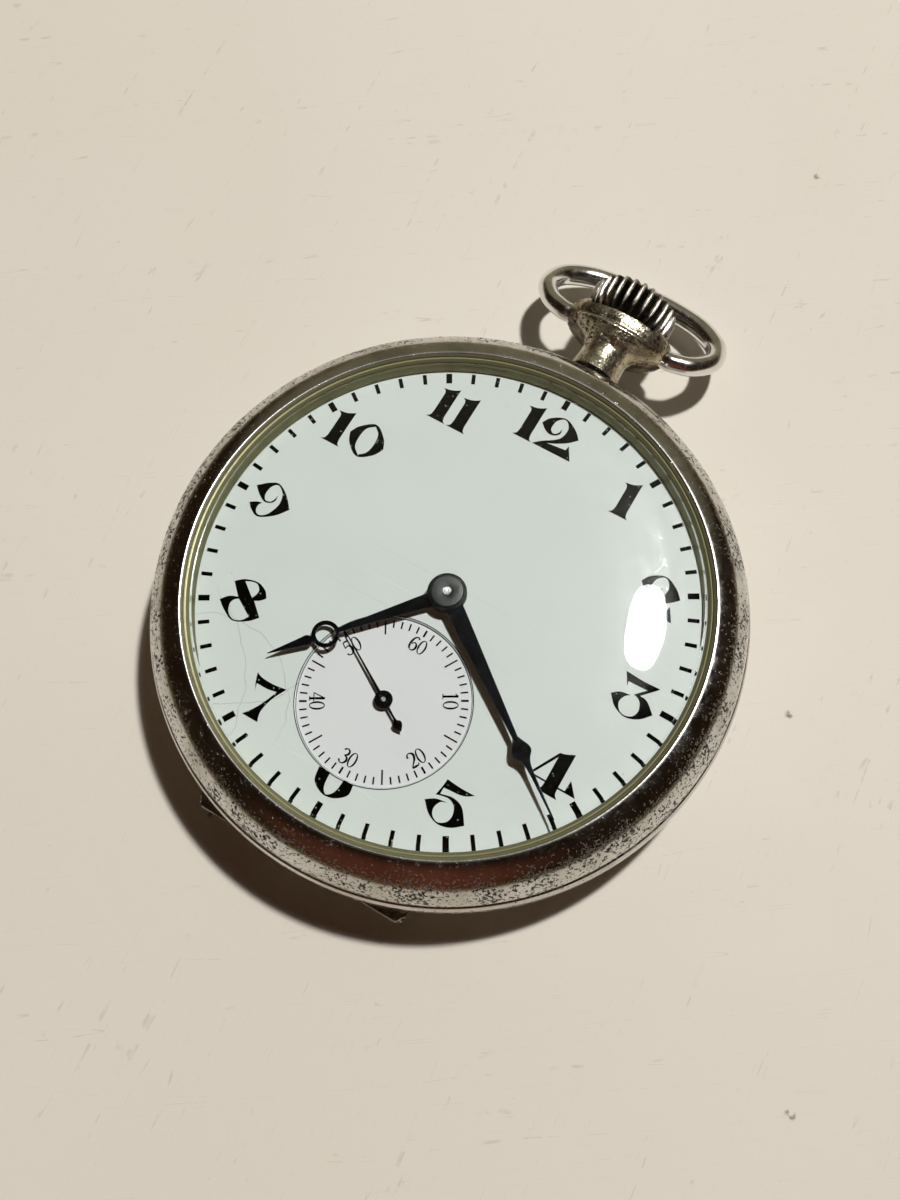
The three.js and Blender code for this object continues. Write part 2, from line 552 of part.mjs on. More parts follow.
function regulator() {
  const toFoot = 58;
  const across = (s, w) => polar(w, toFoot + 90, polar(s, toFoot, balanceAt));
  const arm = ([s0, w0], [s1, w1]) =>
    plate([across(s0, w0), across(s1, w1), across(s1, -w1), across(s0, -w0)], 1.85, 2.15);
  const pointer = arm([1.4, 0.45], [7.6, 0.08]);
  const tail = arm([-1.4, 0.4], [-3.8, 0.25]);
  const pin = disc(0.12, 2.0, 3.5, across(-3.6, 0), 6);
  return join(ring(1.05, 1.8, 1.85, 2.15, balanceAt, 20), pointer, tail, pin);
}

// ---- motion works -------------------------------------------------------------------
function cannonPinion() {
  const leaves = gear(TEETH.cannon, MODULE.motion, centreAt, 0, 7.35, 7.7, PINION_TIP, 0.12);
  return cut(join(leaves, disc(0.66, 7.5, 10.0, centreAt, 12)), disc(0.4, 7, 11, centreAt, 12));
}
const minutePhase = meshPhase(centreAt, minuteAt, TEETH.cannon, TEETH.minute, 0);
const minuteWheel = () => cut(join(
  gear(TEETH.minute, MODULE.motion, minuteAt, minutePhase, 7.4, 7.6),
  gear(TEETH.minutePinion, MODULE.hour, minuteAt, 0, 7.55, 8.0, PINION_TIP, 0.12)),
disc(0.36, 7, 9, minuteAt, 8));
const hourPhase = meshPhase(minuteAt, centreAt, TEETH.minutePinion, TEETH.hour, 0);
const hourWheel = () => cut(join(
  gear(TEETH.hour, MODULE.hour, centreAt, hourPhase, 7.78, 7.98), disc(1.0, 7.78, 9.42, centreAt, 16)),
disc(0.74, 7, 10, centreAt, 12));
const settingPhase = meshPhase(minuteAt, settingAt, TEETH.minute, TEETH.setting, minutePhase);
const settingWheel = () => cut(
  gear(TEETH.setting, MODULE.motion, settingAt, settingPhase, 7.38, 7.58),
  disc(0.46, 7, 8, settingAt, 8));

// ---- winding and setting work -------------------------------------------------------
const FACE_TEETH = { from: 2.15, to: 2.85, tip: 3.42, root: 3.15 };
const crownPhase = Math.PI / 2;

function ratchetWheel() {
  const phase = meshPhase(crownWheelAt, barrelAt, TEETH.crown, TEETH.ratchet, crownPhase);
  return cut(gear(TEETH.ratchet, MODULE.ratchet, barrelAt, phase, 1.75, 2.15),
    disc(0.4, 1, 3, barrelAt, 12));
}

// The crown wheel meshes with the ratchet wheel at its edge, and with the winding
// pinion by teeth on the face of the ring below it.
function crownWheel() {
  const wheel = gear(TEETH.crown, MODULE.ratchet, crownWheelAt, crownPhase, 1.75, 2.15);
  const skirt = ring(FACE_TEETH.from, FACE_TEETH.to, 2.0, FACE_TEETH.root, crownWheelAt, 20);
  const length = FACE_TEETH.to - FACE_TEETH.from;
  const teeth = Array.from({ length: TEETH.crownFace }, (_, i) => {
    const tooth = new THREE.BoxGeometry(0.24, length - 0.1, 2 * (FACE_TEETH.tip - FACE_TEETH.root));
    tooth.translate(0, FACE_TEETH.to - length / 2, FACE_TEETH.root);
    tooth.rotateZ(((i + 0.5) / TEETH.crownFace) * 2 * Math.PI);
    return solidOf(tooth.translate(crownWheelAt[0], crownWheelAt[1], 0));
  });
  return cut(join(wheel, skirt, ...teeth), disc(1.3, 1, 4, crownWheelAt, 16));
}

function headedScrew(at, head, shank, z0, zHead, z1) {
  const slotted = cut(disc(head, z0, zHead, at, 10), box(at[0] - head, at[0] + head,
    at[1] - 0.12, at[1] + 0.12, z0 - 1, z0 + 0.12));
  return join(slotted, disc(shank, zHead - 0.05, z1, at, 6));
}

function click() {
  const beak = plate([polar(0.8, 95, clickAt), polar(7.2, 166.5, barrelAt), polar(5.42, 171.2, barrelAt),
    polar(0.85, -60, clickAt)], 1.8, 2.15);
  return cut(join(disc(0.9, 1.8, 2.15, clickAt, 14), beak), disc(0.36, 1, 3, clickAt, 8));
}
const clickSpring = () => plate([[-15.2, 3.2], [-14.6, 2.7], [-12.2, 4.1], [-11.3, 5.7], [-11.55, 5.85],
  [-12.5, 4.5], [-14.4, 3.7]], 1.85, BRIDGE.low - 0.03);

// Radial teeth on the winding axis, extruded along Y.
function stemGear(teeth, r, tip, root, y0, y1, phase) {
  const outline = toothed(teeth, (2 * r) / teeth, [0, 0], phase, tip, root, 0.08);
  const shape = new THREE.Shape(outline.map((p) => new THREE.Vector2(...p)));
  const geometry = new THREE.ExtrudeGeometry(shape, { depth: y1 - y0, bevelEnabled: false });
  return solidOf(geometry.rotateX(-Math.PI / 2).scale(1, 1, -1).translate(0, y0, STEM_Z));
}

const windingPinion = () => cut(
  stemGear(TEETH.winding, 2.15, 0.62, 0.9, 17.2, 17.95, -Math.PI / 2), onStem(0.6, 16, 19));
const clutch = () => cut(join(stemGear(14, 1.4, 0.5, 0.5, 15.2, 15.7, 0), onStem(0.95, 15.6, 16.7)),
  onStem(0.55, 14, 17));

function stem() {
  const rod = solidOf(turnedOnStem([[0, 12.7], [0.4, 12.7], [0.4, 14.3], [0.48, 14.3], [0.48, 20.2],
    [0.3, 20.2], [0.3, 20.6], [0.5, 20.6], [0.5, 32.2], [0, 32.2]], 12));
  return rod;
}

function crown() {
  const { from, to, r, ribs } = CROWN;
  const outline = Array.from({ length: ribs * 2 }, (_, i) =>
    polar(i % 2 ? r - 0.45 : r, ((i + 0.5) / (ribs * 2)) * 360));
  const shape = new THREE.Shape(outline.map((p) => new THREE.Vector2(...p)));
  const fluted = new THREE.ExtrudeGeometry(shape, { depth: to - from, bevelEnabled: false });
  const body = solidOf(fluted.rotateX(-Math.PI / 2).scale(1, 1, -1).translate(0, from, STEM_Z));
  const domed = solidOf(turnedOnStem([[0, from], [r - 0.6, from], [r, from + 0.35], [r, to - 0.35],
    [r - 0.5, to], [r - 1.2, to + 0.2], [0, to + 0.3]], ribs));
  const cap = solidOf(turnedOnStem([[0, to - 0.5], [r - 0.6, to - 0.5], [r - 0.9, to + 0.15],
    [0, to + 0.3]], 20));
  return cut(join(body.intersect(domed), cap), onStem(0.53, from - 1, from + 0.95));
}

function settingLever() {
  return cut(plate([[2.9, 19.2], [4.6, 18.6], [5.0, 16.4], [3.4, 14.6], [2.9, 15.4], [3.9, 16.9],
    [2.8, 18.2]], 7.3, 7.6), disc(0.36, 7, 8, leverPivot, 8));
}
const yoke = () => cut(plate([[-4.9, 18.6], [-3.7, 18.3], [-3.5, 16.2], [-2.8, 15.2], [-3.1, 14.9],
  [-4.2, 15.8], [-5.1, 17.6]], 7.3, 7.6), disc(0.36, 7, 8, yokePivot, 8));

node("main_plate", mainPlate(), damaskeened);
node("barrel_bridge", barrelBridge(), damaskeened);
node("train_bridge", trainBridge(), damaskeened);
node("balance_cock", balanceCock(), damaskeened);
node("pallet_cock", palletCock(), damaskeened);
node("barrel_drum", barrelDrum(), brass);
node("barrel_lid", barrelLid(), brass);
node("barrel_arbor", barrelArbor(), steel);
node("mainspring", spiral(barrelAt, 2.0, 5.8, 3, 14, 0.35, 4.2, 4.85), steel);
node("centre_wheel", centreWheel(), brass);
node("centre_pinion", centrePinion(), steel);
node("third_wheel", thirdWheel(), brass);
node("third_pinion", thirdPinion(), steel);
node("fourth_wheel", fourthWheel(), brass);
node("fourth_pinion", fourthPinion(), steel);
node("escape_wheel", escapeWheel(), steel);
node("escape_pinion", escapePinion(), steel);
node("pallet_fork", palletFork(), steel);
node("balance_wheel", balanceWheel(), brass);
node("balance_staff", balanceStaff(), steel);
node("hairspring", hairspring(), blued);
node("regulator", regulator(), steel);
node("cannon_pinion", cannonPinion(), steel);
node("minute_wheel", minuteWheel(), brass);
node("hour_wheel", hourWheel(), brass);
node("setting_wheel", settingWheel(), steel);
node("ratchet_wheel", ratchetWheel(), steel);
node("crown_wheel", crownWheel(), steel);
node("click", click(), steel);
node("click_spring", clickSpring(), steel);
node("winding_pinion", windingPinion(), steel);
node("clutch", clutch(), steel);
node("stem", stem(), steel);
node("crown", crown(), gunmetal);
node("setting_lever", settingLever(), steel);
node("yoke", yoke(), steel);
BARREL_POSTS.forEach((at, i) =>
  node(`barrel_bridge_screw_${i + 1}`, headedScrew(at, 0.9, 0.36, 1.9, BRIDGE.low - 0.03, 5), blued));
TRAIN_POSTS.forEach((at, i) =>
  node(`train_bridge_screw_${i + 1}`, headedScrew(at, 0.9, 0.36, 1.9, BRIDGE.low - 0.03, 5), blued));
node("cock_screw", headedScrew(COCK_FOOT, 0.9, 0.36, 1.9, BRIDGE.low - 0.03, 5), blued);
node("pallet_cock_screw", headedScrew(PALLET_FOOT, 0.55, 0.26, 4.6, 4.77, 5.8), blued);
node("ratchet_screw", headedScrew(barrelAt, 1.3, 0.34, 1.45, 1.72, 2.2), blued);
node("crown_wheel_screw", headedScrew(crownWheelAt, 1.7, 0.38, 1.45, 1.72, 3.4), blued);
CASE_SCREWS.forEach((at, i) => {
  const screw = join(disc(0.9, 7.55, 7.8, at, 12), disc(0.36, 6.3, 7.6, at, 8));
  node(`case_screw_${i + 1}`, screw, blued);
});

export default watch;
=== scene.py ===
import json
import math

import bmesh
import bpy
from mathutils import Matrix, Vector


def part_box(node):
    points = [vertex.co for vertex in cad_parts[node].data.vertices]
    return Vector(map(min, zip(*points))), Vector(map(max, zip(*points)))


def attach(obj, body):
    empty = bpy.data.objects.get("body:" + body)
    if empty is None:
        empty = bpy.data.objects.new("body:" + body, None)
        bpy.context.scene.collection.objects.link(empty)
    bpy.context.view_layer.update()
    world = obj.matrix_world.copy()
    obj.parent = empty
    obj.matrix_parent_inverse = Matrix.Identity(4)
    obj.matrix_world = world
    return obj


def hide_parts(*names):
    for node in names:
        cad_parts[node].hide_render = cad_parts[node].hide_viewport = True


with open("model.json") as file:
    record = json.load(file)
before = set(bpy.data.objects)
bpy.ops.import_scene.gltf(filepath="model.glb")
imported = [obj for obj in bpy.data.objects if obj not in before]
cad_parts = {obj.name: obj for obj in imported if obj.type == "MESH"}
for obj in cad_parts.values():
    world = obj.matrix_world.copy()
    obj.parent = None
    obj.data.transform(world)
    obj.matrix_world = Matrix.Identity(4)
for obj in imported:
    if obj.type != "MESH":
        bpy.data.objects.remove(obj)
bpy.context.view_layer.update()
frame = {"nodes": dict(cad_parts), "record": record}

# Lengths below are millimetres in the row frame, +Z out of the dial and +Y to 12 o'clock;
# piece() scales each finished mesh to metres.
MM = 0.001
ROUND = 192  # segments of a large round piece
FINE_ROUND = 256  # and of one whose edge is seen against the floor


def low(node):
    """A CAD node's lowest corner, in mm."""
    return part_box(node)[0] / MM


def high(node):
    """A CAD node's highest corner, in mm."""
    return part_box(node)[1] / MM


def middle(node):
    """The centre of a CAD node's box as (x, y), in mm."""
    centre = (low(node) + high(node)) / 2
    return centre.x, centre.y


def polar(radius, degrees, centre=(0, 0)):
    """The point at that radius and angle round a centre."""
    angle = math.radians(degrees)
    return centre[0] + radius * math.cos(angle), centre[1] + radius * math.sin(angle)


def clamp(value):
    return min(1.0, max(0.0, value))


CASE_R = high("case_middle").x
DIAL_TOP = high("dial").z
SECONDS_TOP = high("seconds_dial").z
STEM_Z = (low("crown").z + high("crown").z) / 2
FOURTH = middle("fourth_wheel")  # the seconds arbor
SECONDS_R = (high("seconds_dial").x - low("seconds_dial").x) / 2
HINGE_Y = (low("hinge_pin").y + high("hinge_pin").y) / 2
HINGE_Z = (low("hinge_pin").z + high("hinge_pin").z) / 2
PIN_R = 0.25  # the hinge pin
PIN_BORE = 0.3  # its hole in the knuckles
CREST_R = 21.8  # the bezel's crest
STEM_BORE = 1.2  # the stem's way through the pendant and the case band
CUP_Y = 30.5  # floor of the pendant's cup, which the crown sits in
BOW_Y = 30.0  # the bow's pivot
BOW_DROP = math.radians(28)  # how far the bow leans down from the case's plane
TIME = {"hour": 220.9, "minute": 125.9, "second": 300.7}  # degrees clockwise from 12


# ---- outlines ----


def bezier(a, b, c, steps):
    """Points from a to c along a curve that b pulls."""
    for i in range(steps + 1):
        t = i / steps
        yield (
            (1 - t) ** 2 * a[0] + 2 * t * (1 - t) * b[0] + t * t * c[0],
            (1 - t) ** 2 * a[1] + 2 * t * (1 - t) * b[1] + t * t * c[1],
        )


def rounded(points, radius, steps=3, open_ends=False):
    """The outline with each corner replaced by a small curve, of about that radius."""
    made = []
    count = len(points)
    for i, p in enumerate(points):
        if open_ends and i in (0, count - 1):
            made.append(tuple(p))
            continue
        before, after = points[i - 1], points[(i + 1) % count]
        ends = []
        for q in (before, after):
            d = math.hypot(q[0] - p[0], q[1] - p[1])
            share = min(radius, 0.45 * d) / d
            ends.append((p[0] + (q[0] - p[0]) * share, p[1] + (q[1] - p[1]) * share))
        made.extend(bezier(ends[0], p, ends[1], steps))
    return made


def catmull_rom(p, q, r, s, t):
    """The value a share t of the way from q to r, on a smooth curve through all four."""
    square = 2 * p - 5 * q + 4 * r - s
    cube = 3 * q - p - 3 * r + s
    return 0.5 * (2 * q + (r - p) * t + square * t * t + cube * t**3)


def smooth_run(points, steps=6):
    """A smooth curve through open points."""
    full = [
        [2 * a - b for a, b in zip(points[0], points[1])],
        *points,
        [2 * a - b for a, b in zip(points[-1], points[-2])],
    ]
    made = []
    for corners in zip(full, full[1:], full[2:], full[3:]):
        for i in range(steps):
            made.append(tuple(catmull_rom(*values, i / steps) for values in zip(*corners)))
    made.append(tuple(points[-1]))
    return made


def drawn(points):
    """A closed outline in mm, from points in hundredths. A point with a third value is a
    corner, and the others lie on curves."""
    points = [(x / 100, y / 100, *corner) for x, y, *corner in points]
    first = next(i for i, p in enumerate(points) if len(p) > 2)
    turned = points[first:] + points[: first + 1]
    made, run = [], [turned[0][:2]]
    for p in turned[1:]:
        run.append(p[:2])
        if len(p) > 2:
            made.extend(smooth_run(run, 6 if len(run) > 2 else 1)[:-1])
            run = [p[:2]]
    return made


def circle(radius, centre=(0, 0), segments=64):
    return [polar(radius, 360 * i / segments, centre) for i in range(segments)]


def shifted(outline, x, y, turn=0.0):
    """The outline turned by that many degrees, then moved."""
    c, s = math.cos(math.radians(turn)), math.sin(math.radians(turn))
    return [(x + c * px - s * py, y + s * px + c * py) for px, py in outline]


# ---- meshes ----

SHARP = 35  # an edge that turns by more degrees than this is shaded sharp
ON_AXIS = 1e-6  # a smaller radius is a single point on the axis


def mesh_object(name, verts, faces, sharp=SHARP):
    mesh = bpy.data.meshes.new(name)
    mesh.from_pydata(verts, [], faces)
    bm = bmesh.new()
    bm.from_mesh(mesh)
    bmesh.ops.remove_doubles(bm, verts=bm.verts, dist=1e-5)
    bmesh.ops.recalc_face_normals(bm, faces=bm.faces)
    bm.to_mesh(mesh)
    bm.free()
    return shaded(name, mesh, sharp)


def shaded(name, mesh, sharp=SHARP):
    """An object of that mesh, smooth but for its sharp edges."""
    mesh.shade_smooth()
    mesh.set_sharp_from_angle(angle=math.radians(sharp))
    obj = bpy.data.objects.new(name, mesh)
    bpy.context.scene.collection.objects.link(obj)
    normals = obj.modifiers.new("normals", "WEIGHTED_NORMAL")
    normals.keep_sharp = True
    return obj


def lathe(name, profile, segments=ROUND, centre=(0, 0), axis="Z", bend=None, sharp=SHARP):
    """Turns [radius, height] points round an axis. A profile whose ends are on the axis
    closes there, and any other closes on itself. bend moves each point (x, y, z)."""
    capped = profile[0][0] < ON_AXIS and profile[-1][0] < ON_AXIS
    verts, rings = [], []
    for r, h in profile:
        count = 1 if r < ON_AXIS else segments
        rings.append(range(len(verts), len(verts) + count))
        for i in range(count):
            a = 2 * math.pi * i / segments
            u, v = centre[0] + r * math.cos(a), centre[1] + r * math.sin(a)
            point = {"X": (h, u, v), "Y": (u, h, v), "Z": (u, v, h)}[axis]
            verts.append(bend(*point) if bend else point)
    faces = []
    pairs = list(zip(rings, rings[1:])) + ([] if capped else [(rings[-1], rings[0])])
    for a, b in pairs:
        for i in range(segments):
            j = (i + 1) % segments
            if len(a) == 1 and len(b) == 1:
                continue
            if len(a) == 1:
                faces.append((a[0], b[j], b[i]))
            elif len(b) == 1:
                faces.append((a[i], a[j], b[0]))
            else:
                faces.append((a[i], a[j], b[j], b[i]))
    return mesh_object(name, verts, faces, sharp)


def slab(name, loops, z0, z1, bevel=0.0):
    """A flat piece between z0 and z1. The first loop is its outline and loops inside it are
    holes; its edges are bevelled inwards."""
    curve = bpy.data.curves.new(name, "CURVE")
    curve.dimensions = "2D"
    curve.fill_mode = "BOTH"
    curve.extrude = (z1 - z0) / 2 - bevel
    curve.bevel_depth = bevel
    curve.bevel_resolution = 1
    curve.offset = -bevel
    for loop in loops:
        spline = curve.splines.new("POLY")
        spline.points.add(len(loop) - 1)
        for point, (x, y) in zip(spline.points, loop):
            point.co = (x, y, 0, 1)
        spline.use_cyclic_u = True
    source = bpy.data.objects.new(name + "_curve", curve)
    bpy.context.scene.collection.objects.link(source)
    graph = bpy.context.evaluated_depsgraph_get()
    mesh = bpy.data.meshes.new_from_object(source.evaluated_get(graph))
    bpy.data.objects.remove(source)
    bpy.data.curves.remove(curve)
    bm = bmesh.new()
    bm.from_mesh(mesh)
    bmesh.ops.remove_doubles(bm, verts=bm.verts, dist=1e-4)
    bmesh.ops.dissolve_degenerate(bm, edges=bm.edges, dist=1e-5)
    bmesh.ops.recalc_face_normals(bm, faces=bm.faces)
    bmesh.ops.translate(bm, verts=bm.verts, vec=(0, 0, (z0 + z1) / 2))
    bm.to_mesh(mesh)
    bm.free()
    mesh.name = name
    return shaded(name, mesh, sharp=20)


def tube(name, points, radii, sides):
    """A round bar along points, with its radius at each; its ends are closed."""
    path = [Vector(p) for p in points]
    side = None
    verts, faces = [], []
    for i, p in enumerate(path):
        ahead = (path[min(i + 1, len(path) - 1)] - path[max(i - 1, 0)]).normalized()
        if side is None:
            side = ahead.orthogonal().normalized()
        side = (side - ahead * side.dot(ahead)).normalized()
        up = ahead.cross(side)
        for k in range(sides):
            a = 2 * math.pi * k / sides
            verts.append(p + radii[i] * (math.cos(a) * side + math.sin(a) * up))
    for start in range(0, (len(path) - 1) * sides, sides):
        end = start + sides
        for k in range(sides):
            j = (k + 1) % sides
            faces.append((start + k, start + j, end + j, end + k))
    faces.append(tuple(reversed(range(sides))))
    faces.append(tuple(range(len(verts) - sides, len(verts))))
    return mesh_object(name, verts, faces, sharp=50)


def merged(name, objects):
    """One object holding the meshes of several."""
    bm = bmesh.new()
    for o in objects:
        bm.from_mesh(o.data)
    mesh = bpy.data.meshes.new(name)
    bm.to_mesh(mesh)
    bm.free()
    for o in objects:
        drop(o)
    return shaded(name, mesh)


def drop(obj):
    mesh = obj.data
    bpy.data.objects.remove(obj)
    bpy.data.meshes.remove(mesh)


def combined(obj, operation, *tools, sharp=SHARP):
    """obj joined with or cut by other closed solids, which are used up."""
    for tool in tools:
        modifier = obj.modifiers.new("combine", "BOOLEAN")
        modifier.operation = operation
        modifier.solver = "EXACT"
        modifier.object = tool
    graph = bpy.context.evaluated_depsgraph_get()
    mesh = bpy.data.meshes.new_from_object(obj.evaluated_get(graph))
    name = obj.name
    for tool in tools:
        drop(tool)
    drop(obj)
    mesh.name = name
    return shaded(name, mesh, sharp)


def box(x0, x1, y0, y1, z0, z1):
    return slab("tool", [[(x0, y0), (x1, y0), (x1, y1), (x0, y1)]], z0, z1)


def rod(x0, x1, y, z, radius, name="tool", ends=0.05):
    """A round bar along x, whose ends are rounded by that much."""
    profile = rounded([(0, x0), (radius, x0), (radius, x1), (0, x1)], ends, 2, True)
    return lathe(name, profile, 48, (y, z), axis="X")


def pin_hole():
    """The tool that bores the hinge knuckles for their pin."""
    return rod(-11, 11, HINGE_Y, HINGE_Z, PIN_BORE, ends=0.0001)


def piece(obj, body, look, *replaced, slot=None):
    """Scales a finished mesh to metres and makes it a piece of the object, with its slot named
    like its look. slot is not used."""
    obj.data.transform(Matrix.Scale(MM, 4))
    obj.data.materials.clear()
    obj.data.materials.append(LOOKS[look])
    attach(obj, body)
    if replaced:
        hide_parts(*replaced)


# ---- materials ----


class Nodes:
    """The nodes of a material or a world, which start empty."""

    def __init__(self, owner):
        owner.use_nodes = True
        self.tree = owner.node_tree
        self.tree.nodes.clear()

    def node(self, kind, inputs=None, **settings):
        made = self.tree.nodes.new(kind)
        for key, value in settings.items():
            setattr(made, key, value)
        for key, value in (inputs or {}).items():
            self.feed(made.inputs[key], value)
        return made

    def feed(self, socket, value):
        """Links another node's socket to this one, or sets a uniform value on it."""
        if isinstance(value, bpy.types.NodeSocket):
            self.tree.links.new(value, socket)
        else:
            socket.default_value = value


class Surface(Nodes):
    """A material. Places are object coordinates, which are the row frame's metres."""

    def __init__(self, name):
        self.name = name
        self.material = bpy.data.materials.new(name)
        super().__init__(self.material)
        self.place = self.node("ShaderNodeTexCoord").outputs["Object"]
        self.bsdf = self.node("ShaderNodeBsdfPrincipled")
        self.out = self.node("ShaderNodeOutputMaterial", {"Surface": self.bsdf.outputs[0]})

    def set(self, **values):
        for key, value in values.items():
            self.feed(self.bsdf.inputs[key.replace("_", " ")], value)

    def math(self, operation, a, b=0.0):
        return self.node("ShaderNodeMath", {0: a, 1: b}, operation=operation).outputs[0]

    def times(self, a, b):
        return self.math("MULTIPLY", a, b)

    def plus(self, a, b):
        return self.math("ADD", a, b)

    def minus(self, a, b):
        return self.math("SUBTRACT", a, b)

    def stretched(self, length, turn):
        """The place with everything drawn out that many times along a direction, in degrees."""
        turned = (0, 0, math.radians(turn))
        inputs = {"Vector": self.place, "Scale": (length, 1, 1), "Rotation": turned}
        return self.node("ShaderNodeMapping", inputs, vector_type="TEXTURE").outputs[0]

    def noise(self, per_mm, detail=3.0, rough=0.5, distortion=0.0, place=None):
        inputs = {
            "Vector": place or self.place,
            "Scale": per_mm / MM,
            "Detail": detail,
            "Roughness": rough,
            "Distortion": distortion,
        }
        return self.node("ShaderNodeTexNoise", inputs).outputs["Fac"]

    def cells(self, per_mm):
        """Distance to the nearest of scattered points, in cells."""
        inputs = {"Vector": self.place, "Scale": per_mm / MM}
        return self.node("ShaderNodeTexVoronoi", inputs).outputs["Distance"]

    def remap(self, value, start, end, start_to=0.0, end_to=1.0):
        """Goes smoothly from start_to to end_to as the value goes from start to end."""
        inputs = {0: value, 1: start, 2: end, 3: start_to, 4: end_to}
        made = self.node("ShaderNodeMapRange", inputs, interpolation_type="SMOOTHSTEP")
        return made.outputs[0]

    def mix(self, share, a, b):
        """Colour a, and b where share is 1. The node has its colours at sockets 6 and 7."""
        made = self.node("ShaderNodeMix", data_type="RGBA")
        for index, value in ((0, share), (6, a), (7, b)):
            self.feed(made.inputs[index], (*value, 1) if isinstance(value, tuple) else value)
        return made.outputs[2]

    def radius(self, x=0.0, y=0.0):
        """Distance in mm from the vertical line through (x, y)."""

        def vector(operation, *inputs):
            return self.node("ShaderNodeVectorMath", dict(enumerate(inputs)), operation=operation)

        moved = vector("ADD", self.place, (-x * MM, -y * MM, 0)).outputs[0]
        flat = vector("MULTIPLY", moved, (1 / MM, 1 / MM, 0)).outputs[0]
        return vector("LENGTH", flat).outputs["Value"]

    def scratches(self, per_mm=2.5, turns=(12, 71, 128), width=0.012):
        """Fine straight scratches in a few directions, 1 on a scratch."""
        total = None
        for i, turn in enumerate(turns):
            across = self.noise(per_mm, 1.0, 0.4, place=self.stretched(30, turn))
            off = self.math("ABSOLUTE", self.minus(across, 0.5))
            line = self.remap(off, 0, width, 1, 0)
            gaps = self.remap(self.noise(0.6 + 0.1 * i), 0.5, 0.62)
            broken = self.times(line, gaps)
            total = broken if total is None else self.math("MAXIMUM", total, broken)
        return total

    def bump(self, height, depth):
        """Raises the surface by height, in units of depth mm."""
        inputs = {"Height": height, "Distance": depth * MM, "Strength": 1.0}
        self.set(Normal=self.node("ShaderNodeBump", inputs).outputs[0])
        return self


def metal(
    name, bright, dull, rough,
    grain=0.001, cast=0.0, pits=0.0, pit_mask=None, stain=None, inner=None, crest=None,
):
    """Worn metal: tarnish in patches, scratches and dark pits. grain and cast are the depths
    in mm of its fine and its coarse roughness, pits is how many there are where pit_mask is 1,
    inner is (mask, colour, roughness, metallic) for a part with its own finish or its own
    painted highlight, and crest is the radius of an edge rubbed matt."""
    s = Surface(name)
    colour = s.mix(s.remap(s.noise(0.22, 5.0, 0.6), 0.38, 0.66), bright, dull)
    if stain:
        colour = s.mix(s.remap(s.noise(0.3, 4.0, 0.6, 0.6), 0.5, 0.68), colour, stain)
    lines = s.scratches()
    roughness = s.remap(s.noise(1.3, 4.0, 0.6), 0.3, 0.7, rough[0], rough[1])
    roughness = s.plus(roughness, s.times(lines, 0.12))
    if crest:
        near = s.math("ABSOLUTE", s.minus(s.radius(), crest))
        roughness = s.math("MAXIMUM", roughness, s.remap(near, 0.1, 0.35, 0.21, 0.0))
    relief = s.times(s.noise(6.0, 3.0, 0.6), grain)
    relief = s.plus(relief, s.times(s.noise(1.6, 3.0, 0.6), cast))  # in mm
    metallic = 1.0
    if pits:
        reach = s.times(pit_mask(s), pits)
        pit = s.remap(s.minus(s.noise(3.6, 4.0, 0.7), reach), 0.28, 0.31, 1, 0)
        colour = s.mix(pit, colour, (0.012, 0.01, 0.008))
        roughness = s.plus(roughness, s.times(pit, 0.4))
        relief = s.minus(relief, s.times(pit, 0.008))
        metallic = s.remap(pit, 0, 1, 1.0, 0.3)
    if inner:
        mask, inner_colour, inner_rough, inner_metal = inner
        share = mask(s)
        colour = s.mix(share, colour, inner_colour)
        roughness = s.math("MAXIMUM", roughness, s.times(share, inner_rough))
        metallic = s.math("MINIMUM", metallic, s.remap(share, 0, 1, 1.0, inner_metal))
    s.set(Base_Color=colour, Roughness=roughness, Metallic=metallic)
    return s.bump(relief, 1.0)


def bezel_wear(s):
    """Pits crowd the bezel's outer shoulder and thin out towards its crest."""
    patches = s.remap(s.noise(0.35, 4.0, 0.6), 0.35, 0.65, 0.55, 1.0)
    return s.times(patches, s.remap(s.radius(), 22.6, 24.0, 0.35, 1.0))


def patchy_wear(s):
    """Pits in patches."""
    return s.remap(s.noise(0.5, 4.0, 0.6), 0.35, 0.65, 0.3, 1.0)


def inner_bevel(s):
    """The bezel inside its crest."""
    return s.remap(s.radius(), CREST_R - 0.14, CREST_R - 0.08, 1, 0)


def rib_tips(s):
    """The outermost part of the crown's ribs about the stem's axis: worn bright, and painted
    brighter still as a highlight.
    """
    parts = s.node("ShaderNodeSeparateXYZ", {0: s.place}).outputs
    z = s.minus(parts["Z"], STEM_Z * MM)
    across = s.times(parts["X"], parts["X"])
    square = s.plus(across, s.times(z, z))
    out = s.math("DIVIDE", s.math("SQRT", square), MM)
    tip_reach = s.plus(out, s.times(s.noise(1.1, 4.0, 0.6), 0.5))
    return s.remap(tip_reach, 4.0, 4.16)


